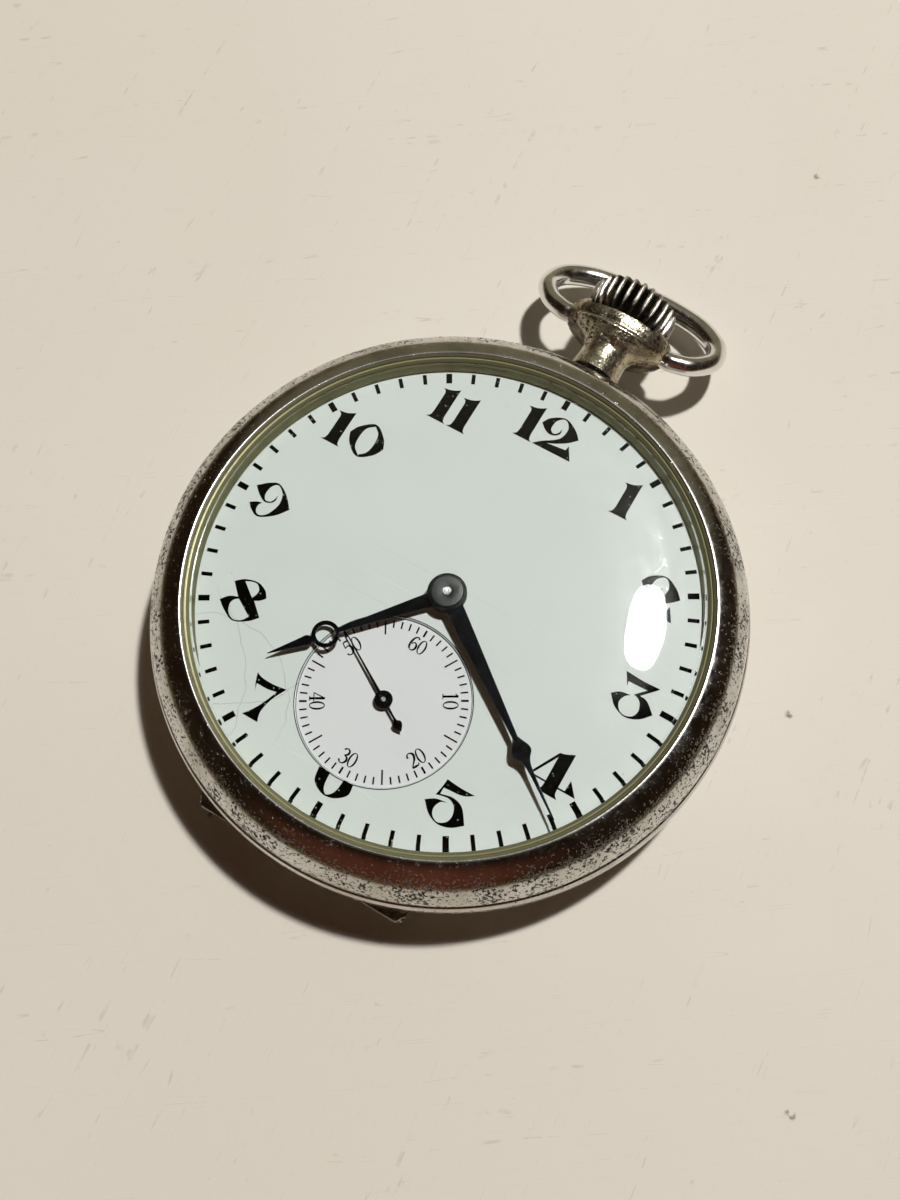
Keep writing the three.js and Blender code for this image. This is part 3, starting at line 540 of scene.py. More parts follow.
def enamel(name, colour, shade, cracked=False):
    """Fired enamel: faint mottling, tiny specks, and on the dial a few hairline cracks."""
    s = Surface(name)
    base = s.mix(s.remap(s.noise(0.12, 4.0), 0.35, 0.65), colour, shade)
    specks = s.remap(s.cells(0.55), 0.02, 0.035, 1, 0)
    base = s.mix(s.times(specks, 0.7), base, (0.22, 0.21, 0.19))
    relief = s.noise(1.2, 2.0)
    if cracked:
        # Each crack wanders about an arc with this centre and radius, near 7 o'clock.
        wander = s.times(s.minus(s.noise(0.5, 3.0), 0.5), 1.1)
        crack = None
        for x, y, r in ((-13.0, -17.5, 7.3), (-21.5, -20.5, 12.6), (-15.0, -8.2, 9.4)):
            offset = s.plus(s.minus(s.radius(x, y), r), wander)
            line = s.remap(s.math("ABSOLUTE", offset), 0.0, 0.045, 1, 0)
            crack = line if crack is None else s.math("MAXIMUM", crack, line)
        kept = s.remap(s.radius(-11.5, -13.0), 5.0, 8.5, 1, 0)
        crack = s.times(crack, kept)
        base = s.mix(s.times(crack, 0.55), base, (0.30, 0.28, 0.25))
        relief = s.minus(relief, crack)
    s.set(Base_Color=base, Roughness=s.remap(s.noise(0.8, 3.0), 0.3, 0.7, 0.07, 0.12))
    s.set(Specular_IOR_Level=0.4)
    return s.bump(relief, 0.001)


def print_ink(name):
    """Black printed enamel, with pinholes where the white shows through."""
    s = Surface(name)
    holes = s.remap(s.cells(2.6), 0.12, 0.17, 1, 0)
    kept = s.times(holes, s.remap(s.noise(0.7, 2.0), 0.46, 0.56))
    base = s.mix(kept, (0.0012, 0.0015, 0.0012), (0.42, 0.44, 0.43))
    s.set(Base_Color=base, Roughness=s.remap(s.noise(3.0), 0.3, 0.7, 0.6, 0.8))
    s.set(Specular_IOR_Level=0.0)
    return s.bump(s.noise(6.0, 3.0), 0.006)


def blued_steel(name, deep, light, rough):
    """Heat-blued steel with a little dust on it."""
    s = Surface(name)
    colour = s.mix(s.remap(s.noise(0.5, 3.0), 0.4, 0.7), deep, light)
    dust = s.remap(s.cells(3.2), 0.06, 0.12, 1, 0)
    dust = s.times(dust, s.remap(s.noise(1.4), 0.52, 0.6))
    colour = s.mix(s.times(dust, 0.6), colour, (0.3, 0.3, 0.3))
    s.set(Base_Color=colour, Metallic=0.9)
    s.set(Roughness=s.remap(s.noise(4.0, 3.0), 0.3, 0.7, *rough))
    return s.bump(s.noise(12.0, 3.0), 0.003)


def striped_nickel(name):
    """Damaskeened nickel plates: broad polished stripes, painted lighter and darker in turn as a
    sheen.
    """
    s = Surface(name)
    bent = s.node(
        "ShaderNodeTexWave",
        {"Vector": s.stretched(1, 38), "Scale": 0.10 / MM, "Distortion": 1.2, "Detail": 0.0},
        bands_direction="X",
        wave_profile="SIN",
    ).outputs["Fac"]
    stripe_and_sheen = s.remap(bent, 0.25, 0.75)
    # the stripe pattern is real; its lighter and darker colours are a painted sheen
    colour = s.mix(stripe_and_sheen, (0.60, 0.585, 0.55), (0.74, 0.73, 0.70))
    colour = s.mix(s.remap(s.noise(0.3, 4.0), 0.5, 0.75), colour, (0.50, 0.47, 0.40))
    s.set(Base_Color=colour, Metallic=1.0)
    base = s.remap(stripe_and_sheen, 0, 1, 0.2, 0.36)
    s.set(Roughness=s.plus(base, s.times(s.noise(7.0), 0.05)))
    return s.bump(s.plus(bent, s.times(s.noise(14.0, 2.0), 0.3)), 0.006)


def watch_glass(name):
    """Clear crystal with hairline scratches and smudges; lamp light passes straight through."""
    s = Surface(name)
    smudge = s.remap(s.noise(0.14, 5.0, 0.6, 1.0), 0.52, 0.74)
    lines = s.scratches(2.2, (20, 64, 101, 155), 0.006)
    s.set(Base_Color=(0.98, 0.99, 0.985, 1), Transmission_Weight=1.0, IOR=1.45)
    s.set(Coat_Weight=s.remap(s.noise(0.5, 5.0, 0.7), 0.35, 0.65, 0.01, 0.05))
    s.set(Coat_Roughness=0.22)
    haze = s.remap(smudge, 0, 1, 0.0, 0.02)
    s.set(Roughness=s.plus(haze, s.times(lines, 0.12)))
    rays = s.node("ShaderNodeLightPath")
    passing = s.math("MAXIMUM", rays.outputs["Is Shadow Ray"], rays.outputs["Is Diffuse Ray"])
    clear = s.node("ShaderNodeBsdfTransparent", {"Color": (0.95, 0.97, 0.96, 1)})
    shaders = {0: passing, 1: s.bsdf.outputs[0], 2: clear.outputs[0]}
    s.feed(s.out.inputs["Surface"], s.node("ShaderNodeMixShader", shaders).outputs[0])
    return s


SURFACES = [
    metal(
        "case_nickel", (0.66, 0.65, 0.62), (0.50, 0.48, 0.43), (0.14, 0.30),
        pits=0.09, pit_mask=patchy_wear,
    ),
    metal(
        "bezel_nickel", (0.68, 0.67, 0.64), (0.50, 0.485, 0.44), (0.06, 0.17),
        grain=0.006, cast=0.008, pits=0.2, pit_mask=bezel_wear,
        inner=(inner_bevel, (0.19, 0.185, 0.095), 0.34, 0.5), crest=CREST_R,
    ),
    metal(
        "pendant_nickel", (0.58, 0.53, 0.40), (0.28, 0.22, 0.13), (0.16, 0.32),
        grain=0.014, cast=0.07, pits=0.18, pit_mask=patchy_wear, stain=(0.06, 0.034, 0.018),
    ),
    metal(
        "bow_steel", (0.86, 0.86, 0.85), (0.72, 0.71, 0.69), (0.12, 0.22), grain=0.0003
    ),
    metal(
        "crown_gunmetal", (0.10, 0.09, 0.075), (0.035, 0.03, 0.026), (0.26, 0.42),
        grain=0.01, cast=0.05, pits=0.13, pit_mask=patchy_wear, stain=(0.16, 0.12, 0.06),
        # the rib tips are painted bright, partly as wear and partly as a painted highlight
        inner=(rib_tips, (0.62, 0.59, 0.52), 0.22, 1.0),
    ),
    metal(
        "boss_steel", (0.035, 0.036, 0.034), (0.016, 0.017, 0.018), (0.3, 0.45), grain=0.02
    ),
    metal("steel", (0.60, 0.60, 0.60), (0.42, 0.41, 0.40), (0.18, 0.32)),
    metal("wheel_brass", (0.78, 0.58, 0.26), (0.58, 0.42, 0.18), (0.2, 0.34)),
    striped_nickel("plate_nickel"),
    enamel("dial_enamel", (0.775, 0.82, 0.80), (0.755, 0.80, 0.78), cracked=True),
    blued_steel("hand_blued", (0.003, 0.0032, 0.004), (0.007, 0.009, 0.015), (0.1, 0.22)),
    blued_steel("screw_blued", (0.02, 0.03, 0.12), (0.05, 0.08, 0.26), (0.14, 0.26)),
    blued_steel("spring_blued", (0.02, 0.035, 0.14), (0.05, 0.09, 0.28), (0.2, 0.3)),
    watch_glass("crystal_glass"),
    enamel("seconds_enamel", (0.83, 0.83, 0.85), (0.81, 0.81, 0.83)),
    print_ink("printed_enamel"),
]
LOOKS = {surface.name: surface.material for surface in SURFACES}


# ---- case ----


def case_band():
    """The ring that holds the movement, with its two hinge lugs at 6 o'clock."""
    profile = rounded(
        [
            (21.6, 4.2), (21.6, 6.8), (22.1, 6.8), (22.1, 7.5), (23.6, 7.5), (23.6, 6.78),
            (24.95, 6.78), (CASE_R - 0.03, 6.2), (CASE_R - 0.03, 5.1), (24.95, 4.3), (24.7, 3.9),
            (23.9, 3.9), (23.9, 3.3), (22.8, 3.3), (22.8, 4.2),
        ],
        0.16,
    )
    body = lathe("case_band", profile, FINE_ROUND)
    near, far = 6.0, 9.75  # a lug's two ends along the hinge
    outline = [
        (near, HINGE_Y + 0.42), (far, HINGE_Y + 0.42), (far, HINGE_Y + 0.2),
        (far - 0.5, HINGE_Y - 0.53), (near, HINGE_Y - 0.53),
    ]
    lugs = []
    for side in (1, -1):
        mirrored = [(x * side, y) for x, y in outline]
        lugs.append(slab("lug", [mirrored], HINGE_Z - 0.55, HINGE_Z + 0.75, 0.08))
        ends = sorted((near * side, far * side))
        lugs.append(box(*ends, HINGE_Y + 0.2, HINGE_Y + 1.3, HINGE_Z + 0.32, HINGE_Z + 0.75))
    body = combined(body, "UNION", *lugs)
    pocket = box(0.05 - near, near - 0.05, -26, -22.6, 2.8, 4.35)
    bore = [(0, 20), (STEM_BORE, 20), (STEM_BORE, 27), (0, 27)]
    stem_hole = lathe("tool", bore, 48, (0, STEM_Z), "Y")
    return combined(body, "DIFFERENCE", pocket, stem_hole, pin_hole())


def bezel_ring():
    """A broad half-round outside that ends in a crest, and inside it a fine groove, a lip
    over the crystal's edge and the seat on the case band."""
    foot, inside, turn, steps = low("bezel").z, 21.3, 82, 30
    width, height = 24.83 - inside, 3.64
    outer = [
        (inside + width * math.cos(a), foot + height * math.sin(a))
        for a in (math.radians(turn * i / steps) for i in range(steps + 1))
    ]
    inner = rounded(
        [outer[-2], outer[-1], (21.5, foot + 3.45), (21.45, foot + 3.33), (21.33, foot + 3.33),
         (21.02, foot + 3.14), (21.28, foot + 3.12), (21.28, foot + 2.66),
         (20.98, foot + 2.6), (20.6, foot + 1.9), (20.7, foot + 1.83), (22.2, foot + 1.79),
         (23.72, foot + 0.8), (23.72, foot + 0.01), (24.8, foot)],
        0.1, 4, True,
    )
    return lathe("bezel_ring", outer[:-2] + inner, FINE_ROUND)


def crystal_dome():
    """The crystal: almost flat over the dial, and bending down ever faster to its edge."""
    inside = smooth_run(
        [(0, 10.8), (5, 10.799), (10, 10.785), (14, 10.69), (17.5, 10.38), (19, 10.1),
         (20.3, 9.77), (20.72, 9.6)]
    )
    edge = [(21.15, 9.58), (21.15, 9.8)]
    outside = smooth_run(
        [(20.95, 10.02), (20.8, 10.28), (20.3, 10.54), (19, 10.88), (17.5, 11.16),
         (14, 11.477), (10, 11.575), (5, 11.589), (0, 11.59)]
    )
    return lathe("crystal_dome", inside + edge + outside)


def back_shell():
    """The hinged back: a shallow dish with a rolled rim and two hinge knuckles."""
    outside = smooth_run(
        [(11, 0.0), (15, 0.06), (18.5, 0.24), (21.0, 0.6), (22.7, 1.12), (23.8, 1.85),
         (24.45, 2.65), (24.8, 3.6)]
    )
    rim = [(24.72, 3.74), (24.42, 3.75)]
    inside = smooth_run(
        [(24.3, 3.68), (23.9, 2.75), (22.2, 1.45), (18, 0.67), (10, 0.48), (0, 0.45)]
    )
    body = lathe("back_shell", [(0, 0)] + outside + rim + inside, FINE_ROUND)
    room = box(-9.9, 9.9, -26, HINGE_Y + 0.75, HINGE_Z - 0.75, 4)
    below = box(-9.9, 9.9, -26, HINGE_Y - 0.6, -1, 3.5)
    body = combined(body, "DIFFERENCE", room, below)
    knuckles = []
    for x0, x1 in ((2.2, 5.85), (-5.85, -2.2)):
        knuckles.append(rod(x0, x1, HINGE_Y, HINGE_Z, 0.6))
        strap = box(x0, x1, HINGE_Y - 0.35, HINGE_Y + 0.35, HINGE_Z - 1.3, HINGE_Z - 0.2)
        knuckles.append(strap)
    body = combined(body, "UNION", *knuckles)
    return combined(body, "DIFFERENCE", pin_hole())


def dust_shell():
    """The dust cover inside the back: a thin dish with one hinge knuckle."""
    outside = smooth_run([(19.6, 1.05), (20.7, 1.25), (21.6, 1.6), (22.6, 2.3), (23.15, 3.12)])
    inside = smooth_run([(22.82, 3.15), (22.3, 2.5), (21.4, 1.9), (20.5, 1.52), (19.5, 1.35)])
    body = lathe("dust_shell", [(0, 1)] + outside + inside + [(0, 1.3)])
    knuckle = rod(-2.1, 2.1, HINGE_Y, HINGE_Z, 0.55)
    strap = box(-2.1, 2.1, HINGE_Y, HINGE_Y + 1, HINGE_Z - 0.62, HINGE_Z - 0.42)
    body = combined(body, "UNION", knuckle, strap)
    return combined(body, "DIFFERENCE", pin_hole())


def pendant_body():
    """The stub that carries the bow: a foot on the case band, a neck and a flared head."""
    profile = smooth_run(
        [(2.42, 24.6), (2.36, 25.2), (2.2, 26.2), (2.14, 27.2), (2.22, 27.9), (2.6, 28.36),
         (3.4, 28.64), (4.25, 28.9), (4.8, 29.3), (5.03, 29.9), (5.02, 30.45), (4.85, 30.95)]
    )
    lip = smooth_run([(4.85, 30.95), (4.55, 31.13), (4.2, 31.05), (3.7, 30.92)], 4)
    bore = [(STEM_BORE, 30.92), (STEM_BORE, 26.0)]

    def fitted(x, y, z):
        """Flattens the head, and seats the foot on the round of the case band."""
        squeeze = 1 - 0.34 * clamp((y - 28.2) / 1.2)
        foot = clamp(25.6 - y)
        on_band = math.sqrt((CASE_R + 0.06) ** 2 - x * x)
        return x, y + foot * max(0.0, on_band - y), STEM_Z + (z - STEM_Z) * squeeze

    full = [(STEM_BORE, 24.6)] + profile + lip[1:] + bore
    body = lathe("pendant_body", full, 128, (0, STEM_Z), "Y", fitted)
    eyes = [rod(x0, x1, BOW_Y, STEM_Z, 0.95, ends=0.001) for x0, x1 in ((3.9, 6), (-6, -3.9))]
    cup = lathe("tool", [(0, CUP_Y), (4.03, CUP_Y), (4.1, 32), (0, 32)], 96, (0, STEM_Z), "Y")
    return combined(body, "DIFFERENCE", cup, *eyes)


def pendant_tube():
    """The sleeve that the stem runs in."""
    bore, outside, start, end = 0.62, 1.1, 22.3, CUP_Y - 0.02
    outline = rounded([(bore, start), (outside, start), (outside, end), (bore, end)], 0.08)
    return lathe("pendant_tube", outline, 64, (0, STEM_Z), "Y")


def bow_ring():
    """A round steel loop, thinner at the eyes and thicker across its far side."""
    # Half of the loop, from the eye to the far side, as (x, distance from the pivot).
    right = [
        (4.2, 0), (4.9, 0), (5.6, 0.05), (7.2, 0.85), (8.4, 2.9), (7.85, 5.3), (5.6, 7.0),
        (2.6, 7.7),
    ]
    path = right + [(0, 7.8)] + [(-x, s) for x, s in reversed(right)]
    points, radii = [], []
    for x, s in smooth_run(path, 10):
        points.append((x, BOW_Y + s * math.cos(BOW_DROP), STEM_Z - s * math.sin(BOW_DROP)))
        radii.append(0.87 + 0.11 * clamp(s / 7.0))
    return tube("bow_ring", points, radii, 32)


def crown_knob():
    """The winding crown: deep rounded ribs round a drum, with a low dome on the end."""
    y0, y1 = low("crown").y, high("crown").y
    ribs, root, tip = 26, 3.0, high("crown").x
    plain, fade = 2.5, 0.9  # the ribs start outside this radius, and grow over this distance
    skirt = CUP_Y + 0.12
    rows = smooth_run(
        [(2.95, skirt), (3.15, skirt + 0.15), (3.4, skirt + 0.7), (3.6, skirt + 1.6),
         (3.6, y1 - 0.95), (3.4, y1 - 0.5), (2.9, y1 - 0.22), (1.6, y1 - 0.06), (0.0001, y1)],
        5,
    )
    rows = [(r, min(max(y, skirt), y1)) for r, y in rows[:-1]]
    rows = [(0, y0 + 0.9), (0.53, y0 + 0.9), (0.53, y0), (2.9, y0), *rows, (0, y1)]
    mean = (root + tip) / 2

    def flute(x, y, z):
        dz = z - STEM_Z
        r = math.hypot(x, dz)
        if r < plain:
            return x, y, z
        wave = abs(math.cos(ribs / 2 * math.atan2(dz, x))) ** 1.25
        share = clamp((r - plain) / fade)
        k = (r + share * (root + (tip - root) * wave - mean)) / r
        return x * k, y, STEM_Z + dz * k

    return lathe("crown_knob", rows, ribs * 14, (0, STEM_Z), "Y", flute, sharp=60)


def stem_rod():
    """The winding stem: a pilot, a body, a groove for the setting lever, and the shank."""
    outline = rounded(
        [(0, 12.7), (0.4, 12.7), (0.4, 14.3), (0.48, 14.3), (0.48, 20.2), (0.3, 20.2),
         (0.3, 20.6), (0.5, 20.6), (0.5, 32.2), (0, 32.2)],
        0.06, 2, True,
    )
    return lathe("stem_rod", outline, 48, (0, STEM_Z), "Y")


piece(case_band(), "case", "case_nickel", "case_middle")
piece(bezel_ring(), "front", "bezel_nickel", "bezel", slot="case_nickel")
piece(crystal_dome(), "front", "crystal_glass", "crystal")
piece(back_shell(), "back", "case_nickel", "back_cover")
piece(dust_shell(), "inner_back", "case_nickel", "dust_cover")
piece(rod(-9.7, 9.7, HINGE_Y, HINGE_Z, PIN_R, "hinge_rod"), "case", "steel", "hinge_pin")
piece(pendant_body(), "case", "pendant_nickel", "pendant")
piece(pendant_tube(), "case", "steel", "pendant_sleeve")
piece(bow_ring(), "bow", "bow_steel", "bow")
piece(crown_knob(), "crown_and_stem", "crown_gunmetal", "crown")
piece(stem_rod(), "crown_and_stem", "steel", "stem")


# ---- dial ----

C = 1  # marks a corner of an outline for drawn()
# Each digit's outline, and the holes in it, in hundredths of a mm from its middle.
DIGITS = {
    "0": (
        [(-166, 0, C), (-120, 85), (0, 168), (120, 85), (168, -4, C), (115, -95), (0, -168),
         (-115, -92)],
        [(2, 150, C), (-58, 95), (-74, 0), (-58, -95), (2, -150, C), (58, -95), (74, 0),
         (58, 95)],
    ),
    "1": (
        [(-88, -170, C), (-60, -150), (-50, -110, C), (-50, 85, C), (-60, 112), (-84, 128, C),
         (-10, 142), (62, 180, C), (56, 150), (56, -110, C), (66, -150), (88, -170, C)],
    ),
    "2": (
        [(-189, 42, C), (-140, 116), (-26, 170), (89, 118), (163, 44, C), (96, -22), (10, -76),
         (-64, -110, C), (110, -90, C), (117, -45, C), (190, -168, C), (-172, -168, C),
         (-110, -114), (-15, -50), (27, 2), (38, 85), (8, 142), (-36, 158), (-86, 112), (-96, 40),
         (-80, 6), (-50, -4), (-18, 24), (-10, 70, C), (-3, 20), (-38, -16), (-90, -25),
         (-142, 0)],
    ),
    "3": (
        [(-162, 175, C), (-10, 164), (142, 170, C), (27, 44, C), (95, 30), (185, -49, C),
         (105, -132), (2, -170), (-108, -132), (-186, -49, C), (-125, -3), (-40, 12, C),
         (-78, -20), (-97, -80), (-66, -138), (-10, -160), (50, -136), (72, -75), (50, -10),
         (18, 18), (-20, 30, C), (58, 112, C), (-110, 106, C), (-100, 64, C)],
    ),
    "4": (
        [(40, 194, C), (-30, 160), (-78, 148, C), (-220, -114, C), (-70, -114, C), (-76, -162),
         (-102, -194, C), (74, -194, C), (46, -162), (40, -114, C), (195, -114, C), (103, -4, C),
         (98, -100, C), (40, -100, C)],
        [(-72, 112, C), (-70, -100, C), (-190, -100, C)],
    ),
    "5": (
        [(-106, 170, C), (20, 160), (146, 162, C), (60, 114), (-98, 98, C), (-98, 42, C), (3, 64),
         (102, 34), (190, -80, C), (102, -148), (-2, -172), (-100, -134), (-182, -56, C),
         (-108, -8), (-18, 8, C), (-66, -16), (-88, -76), (-66, -132), (-7, -160), (54, -125),
         (70, -62), (46, 6), (-10, 40), (-70, 36), (-126, 20, C), (-112, 100)],
    ),
    "6": (  # its top is cut away by the seconds dial
        [(-162, 5, C), (-138, -100), (-75, -150), (0, -170), (88, -145), (156, -75), (150, 10, C),
         (66, 8, C), (58, -80), (36, -132), (0, -158), (-34, -132), (-52, -80), (-60, 5, C)],
    ),
    "7": (
        [(-140, 176, C), (-80, 157), (30, 154), (140, 170, C), (82, 50), (57, -60), (62, -120),
         (82, -170, C), (-62, -170, C), (-14, -105), (32, -20), (84, 114, C), (0, 98),
         (-98, 98, C), (-80, 44, C), (-115, 110)],
    ),
    "8": (
        [(-168, 100, C), (-100, 156), (6, 185), (95, 156), (144, 100, C), (110, 60), (66, 34, C),
         (184, -70, C), (112, -145), (0, -198), (-110, -150), (-186, -94, C), (-135, -32),
         (-66, -2, C)],
        [(-90, 142, C), (-38, 166), (12, 170), (52, 132), (54, 90), (38, 46, C)],
        [(-52, -12, C), (-84, -40), (-94, -90), (-62, -152), (0, -186), (66, -160),
         (104, -104, C)],
    ),
    "9": (
        [(-182, 62, C), (-100, 134), (-18, 166), (86, 108), (180, 8, C), (98, -98), (-18, -174),
         (-102, -146), (-152, -98, C), (-105, -66), (-55, -50, C), (-74, -86), (-62, -138),
         (-18, -158), (42, -112), (78, 0), (56, 95), (4, 144), (-34, 148), (-68, 104), (-74, 30),
         (-46, -16), (-2, -10), (20, 24), (26, 72, C), (32, 16), (2, -20), (-50, -32), (-120, 6)],
    ),
}
# Each hour's digits and their offsets from where the numeral stands.
NUMERALS = {12: [("1", -1.85), ("2", 0.9)]}
NUMERALS.update({hour: [(str(hour), 0)] for hour in range(1, 10)})
NUMERALS.update({10: [("1", -1.8), ("0", 0.87)], 11: [("1", -0.98), ("1", 0.98)]})
NUMERAL_R = 17.25
NUDGE = {  # how far a numeral is printed off its place
    2: (0.0, 0.1), 4: (0.1, 0.35), 5: (0.1, 0.2), 8: (0.65, 0.1), 10: (0.9, 0.15), 11: (0.5, 0.15)
}
WINDOW_R = SECONDS_R + 0.05  # the dial's opening round the seconds dial
SUNK = 0.01  # how far the printing's underside is set into the enamel
PRINT = 0.018  # and how far its face stands on it


def printed(name, loops, top=DIAL_TOP):
    """Printing on the enamel whose surface is at top."""
    return slab(name, loops, top - SUNK, top + PRINT)


def dial_plate():
    """The dial's blank with its window and centre hole, and three soldered feet."""
    z, under = low("dial").z, DIAL_TOP - 0.48
    edge = circle(high("dial").x, segments=ROUND)
    holes = circle(WINDOW_R, FOURTH, 128), circle(1.15, segments=48)
    blank = slab("dial_plate", [edge, *holes], DIAL_TOP - 0.5, DIAL_TOP, 0.05)
    foot = rounded([(0, z), (0.4, z), (0.4, under), (0, under)], 0.05, 2, True)
    feet = [lathe("foot", foot, 32, at) for at in ((-15, 8), (15.4, 7), (-9, -14.5))]
    return merged("dial_plate", [blank, *feet])


def dial_numerals():
    loops = []
    for hour, digits in NUMERALS.items():
        x, y = polar(NUMERAL_R, 90 - 30 * hour)
        dx, dy = NUDGE.get(hour, (0, 0))
        for digit, offset in digits:
            loops.extend(shifted(drawn(o), x + dx + offset, y + dy) for o in DIGITS[digit])
    return printed("dial_numerals", loops)


def mark(radius, length, width, heading, centre=(0, 0)):
    """A short bar along a radius."""
    half, inner, outer = width / 2, radius - length / 2, radius + length / 2
    bar = [(inner, -half), (outer, -half), (outer, half), (inner, half)]
    return shifted(bar, *centre, 90 - heading)


def minute_marks():
    bars = [
        mark(20.0, 0.9, 0.5 if minute % 5 == 0 else 0.33, 6 * minute) for minute in range(60)
    ]
    return printed("minute_marks", bars)


def seconds_plate():
    loops = [circle(SECONDS_R, FOURTH, 128), circle(0.34, FOURTH, 32)]
    return slab("seconds_plate", loops, low("seconds_dial").z, SECONDS_TOP, 0.06)


def seconds_marks():
    """A mark each second, longer at 5, 15, 25 and so on, and heavier at 10, 20, 30."""
    bars, outer = [], 6.8
    for second in range(60):
        inner = 5.6 if second % 10 == 5 else 6.2
        width = 0.17 if second % 10 == 0 else 0.13
        bars.append(mark((inner + outer) / 2, outer - inner, width, 6 * second, FOURTH))
    return printed("seconds_marks", bars, SECONDS_TOP)


# Small seconds figures as pen strokes: rows of (x, y, half width), 1 tall. The 0 is drawn
# as a ring.
STROKES = {
    "1": [[(0, 0.02, 0.055), (0, 0.98, 0.055)], [(-0.16, 0.8, 0.02), (0, 0.97, 0.04)],
          [(-0.17, 0.02, 0.025), (0.17, 0.02, 0.025)]],
    "2": [[(-0.2, 0.72, 0.06), (-0.16, 0.9, 0.035), (0.02, 0.97, 0.03), (0.2, 0.8, 0.06),
           (0.13, 0.5, 0.055), (-0.08, 0.24, 0.035), (-0.22, 0.05, 0.03)],
          [(-0.22, 0.05, 0.04), (0, 0.05, 0.06), (0.22, 0.08, 0.03), (0.25, 0.2, 0.02)]],
    "3": [[(-0.2, 0.84, 0.05), (-0.05, 0.97, 0.03), (0.14, 0.88, 0.05), (0.14, 0.66, 0.055),
           (-0.04, 0.54, 0.025)],
          [(-0.04, 0.54, 0.025), (0.17, 0.45, 0.05), (0.22, 0.24, 0.06), (0.08, 0.04, 0.035),
           (-0.12, 0.04, 0.03), (-0.22, 0.18, 0.055)]],
    "4": [[(0.1, 0.98, 0.03), (-0.26, 0.3, 0.022)], [(-0.28, 0.29, 0.024), (0.28, 0.29, 0.024)],
          [(0.1, 0.98, 0.06), (0.1, 0.02, 0.06)], [(-0.04, 0.02, 0.022), (0.24, 0.02, 0.022)]],
    "5": [[(-0.14, 0.95, 0.045), (0.2, 0.95, 0.045)], [(-0.14, 0.95, 0.03), (-0.18, 0.55, 0.025)],
          [(-0.18, 0.55, 0.025), (0.04, 0.62, 0.035), (0.21, 0.45, 0.055), (0.2, 0.2, 0.055),
           (0.02, 0.03, 0.035), (-0.14, 0.05, 0.03), (-0.22, 0.18, 0.05)]],
    "6": [[(0.18, 0.86, 0.05), (0.06, 0.97, 0.03), (-0.12, 0.84, 0.045), (-0.22, 0.5, 0.06),
           (-0.19, 0.18, 0.05), (0.0, 0.03, 0.03), (0.18, 0.16, 0.05), (0.19, 0.42, 0.055),
           (0.03, 0.57, 0.03), (-0.16, 0.42, 0.03)]],
}
PEN = 1.2  # how many times wider than this the strokes are drawn


def stroke(points):
    """The outline of a pen stroke of varying width."""
    run = smooth_run(points) if len(points) > 2 else points
    left, right = [], []
    for i, (x, y, w) in enumerate(run):
        x0, y0, _ = run[max(i - 1, 0)]
        x1, y1, _ = run[min(i + 1, len(run) - 1)]
        d = math.hypot(x1 - x0, y1 - y0)
        nx, ny = PEN * (y0 - y1) / d, PEN * (x1 - x0) / d
        left.append((x + nx * w, y + ny * w))
        right.append((x - nx * w, y - ny * w))
    return left + right[::-1]


def figure(digit, size):
    """One small figure as a list of shapes, each a list of loops, centred on its height."""
    if digit == "0":
        ring = circle(1, segments=40)
        ovals = (0.27, 0.49), (0.155, 0.44)
        shapes = [[[(wide * x, 0.5 + tall * y) for x, y in ring] for wide, tall in ovals]]
    else:
        shapes = [[stroke(points)] for points in STROKES[digit]]
    return [
        [[(x * size, (y - 0.5) * size) for x, y in loop] for loop in shape] for shape in shapes
    ]


def seconds_numerals():
    """60, 10, 20 ... 50. The upper three read outwards and the lower three inwards."""
    size, spread, radius = 1.3, 0.36, 5.36
    parts = []
    for tens in range(6):
        heading = 60 * tens
        outward = tens in (0, 1, 5)
        x, y = polar(radius, 90 - heading, FOURTH)
        turn = -heading if outward else 180 - heading
        text = str(10 * tens or 60)
        for digit, side in zip(text, (-spread, spread)):
            for shape in figure(digit, size):
                loops = [shifted(shifted(loop, side, 0), x, y, turn) for loop in shape]
                parts.append(printed("figure", loops, SECONDS_TOP))
    return merged("seconds_numerals", parts)


def seconds_ring():
    """The thin printed line where the sunk seconds dial meets the main dial."""
    loops = [circle(WINDOW_R + gap, FOURTH, 128) for gap in (0.13, 0.06)]
    return printed("seconds_ring", loops)


piece(dial_plate(), "case", "dial_enamel", "dial")
piece(seconds_plate(), "case", "seconds_enamel", "seconds_dial", slot="dial_enamel")
for ink in (
    dial_numerals(), minute_marks(), seconds_marks(), seconds_numerals(), seconds_ring()
):
    piece(ink, "case", "printed_enamel", slot="dial_enamel")


# ---- hands ----


def column(radius, start, end):
    """The profile of a solid round bar, for lathe()."""
    return [(0, start), (radius, start), (radius, end), (0, end)]


def hand(name, half_widths, node, centre, heading, bore, boss, eye=None):
    """A flat blued hand in place of a CAD one. half_widths are (distance, half width) points
    from tail to tip, and eye is a ring's (distance, outer radius, inner radius)."""
    z0, z1 = low(node).z, high(node).z

    def disc(radius, at, edge):
        return lathe("disc", rounded(column(radius, z0, z1), edge, 3, True), 64, at)

    def drill(radius, at, segments):
        return lathe("drill", column(radius, z0 - 1, z1 + 1), segments, at)

    right = smooth_run([(s, -w) for s, w in half_widths], 4)
    outline = right + [(s, -w) for s, w in reversed(right)]
    blade = slab(name, [shifted(outline, *centre, 90 - heading)], z0, z1, 0.035)
    blade = combined(blade, "UNION", disc(boss, centre, 0.06))
    if eye:
        distance, outer, inner = eye
        at = polar(distance, 90 - heading, centre)
        blade = combined(blade, "UNION", disc(outer, at, 0.05))
        blade = combined(blade, "DIFFERENCE", drill(inner, at, 64))
    return combined(blade, "DIFFERENCE", drill(bore, centre, 48), sharp=30)


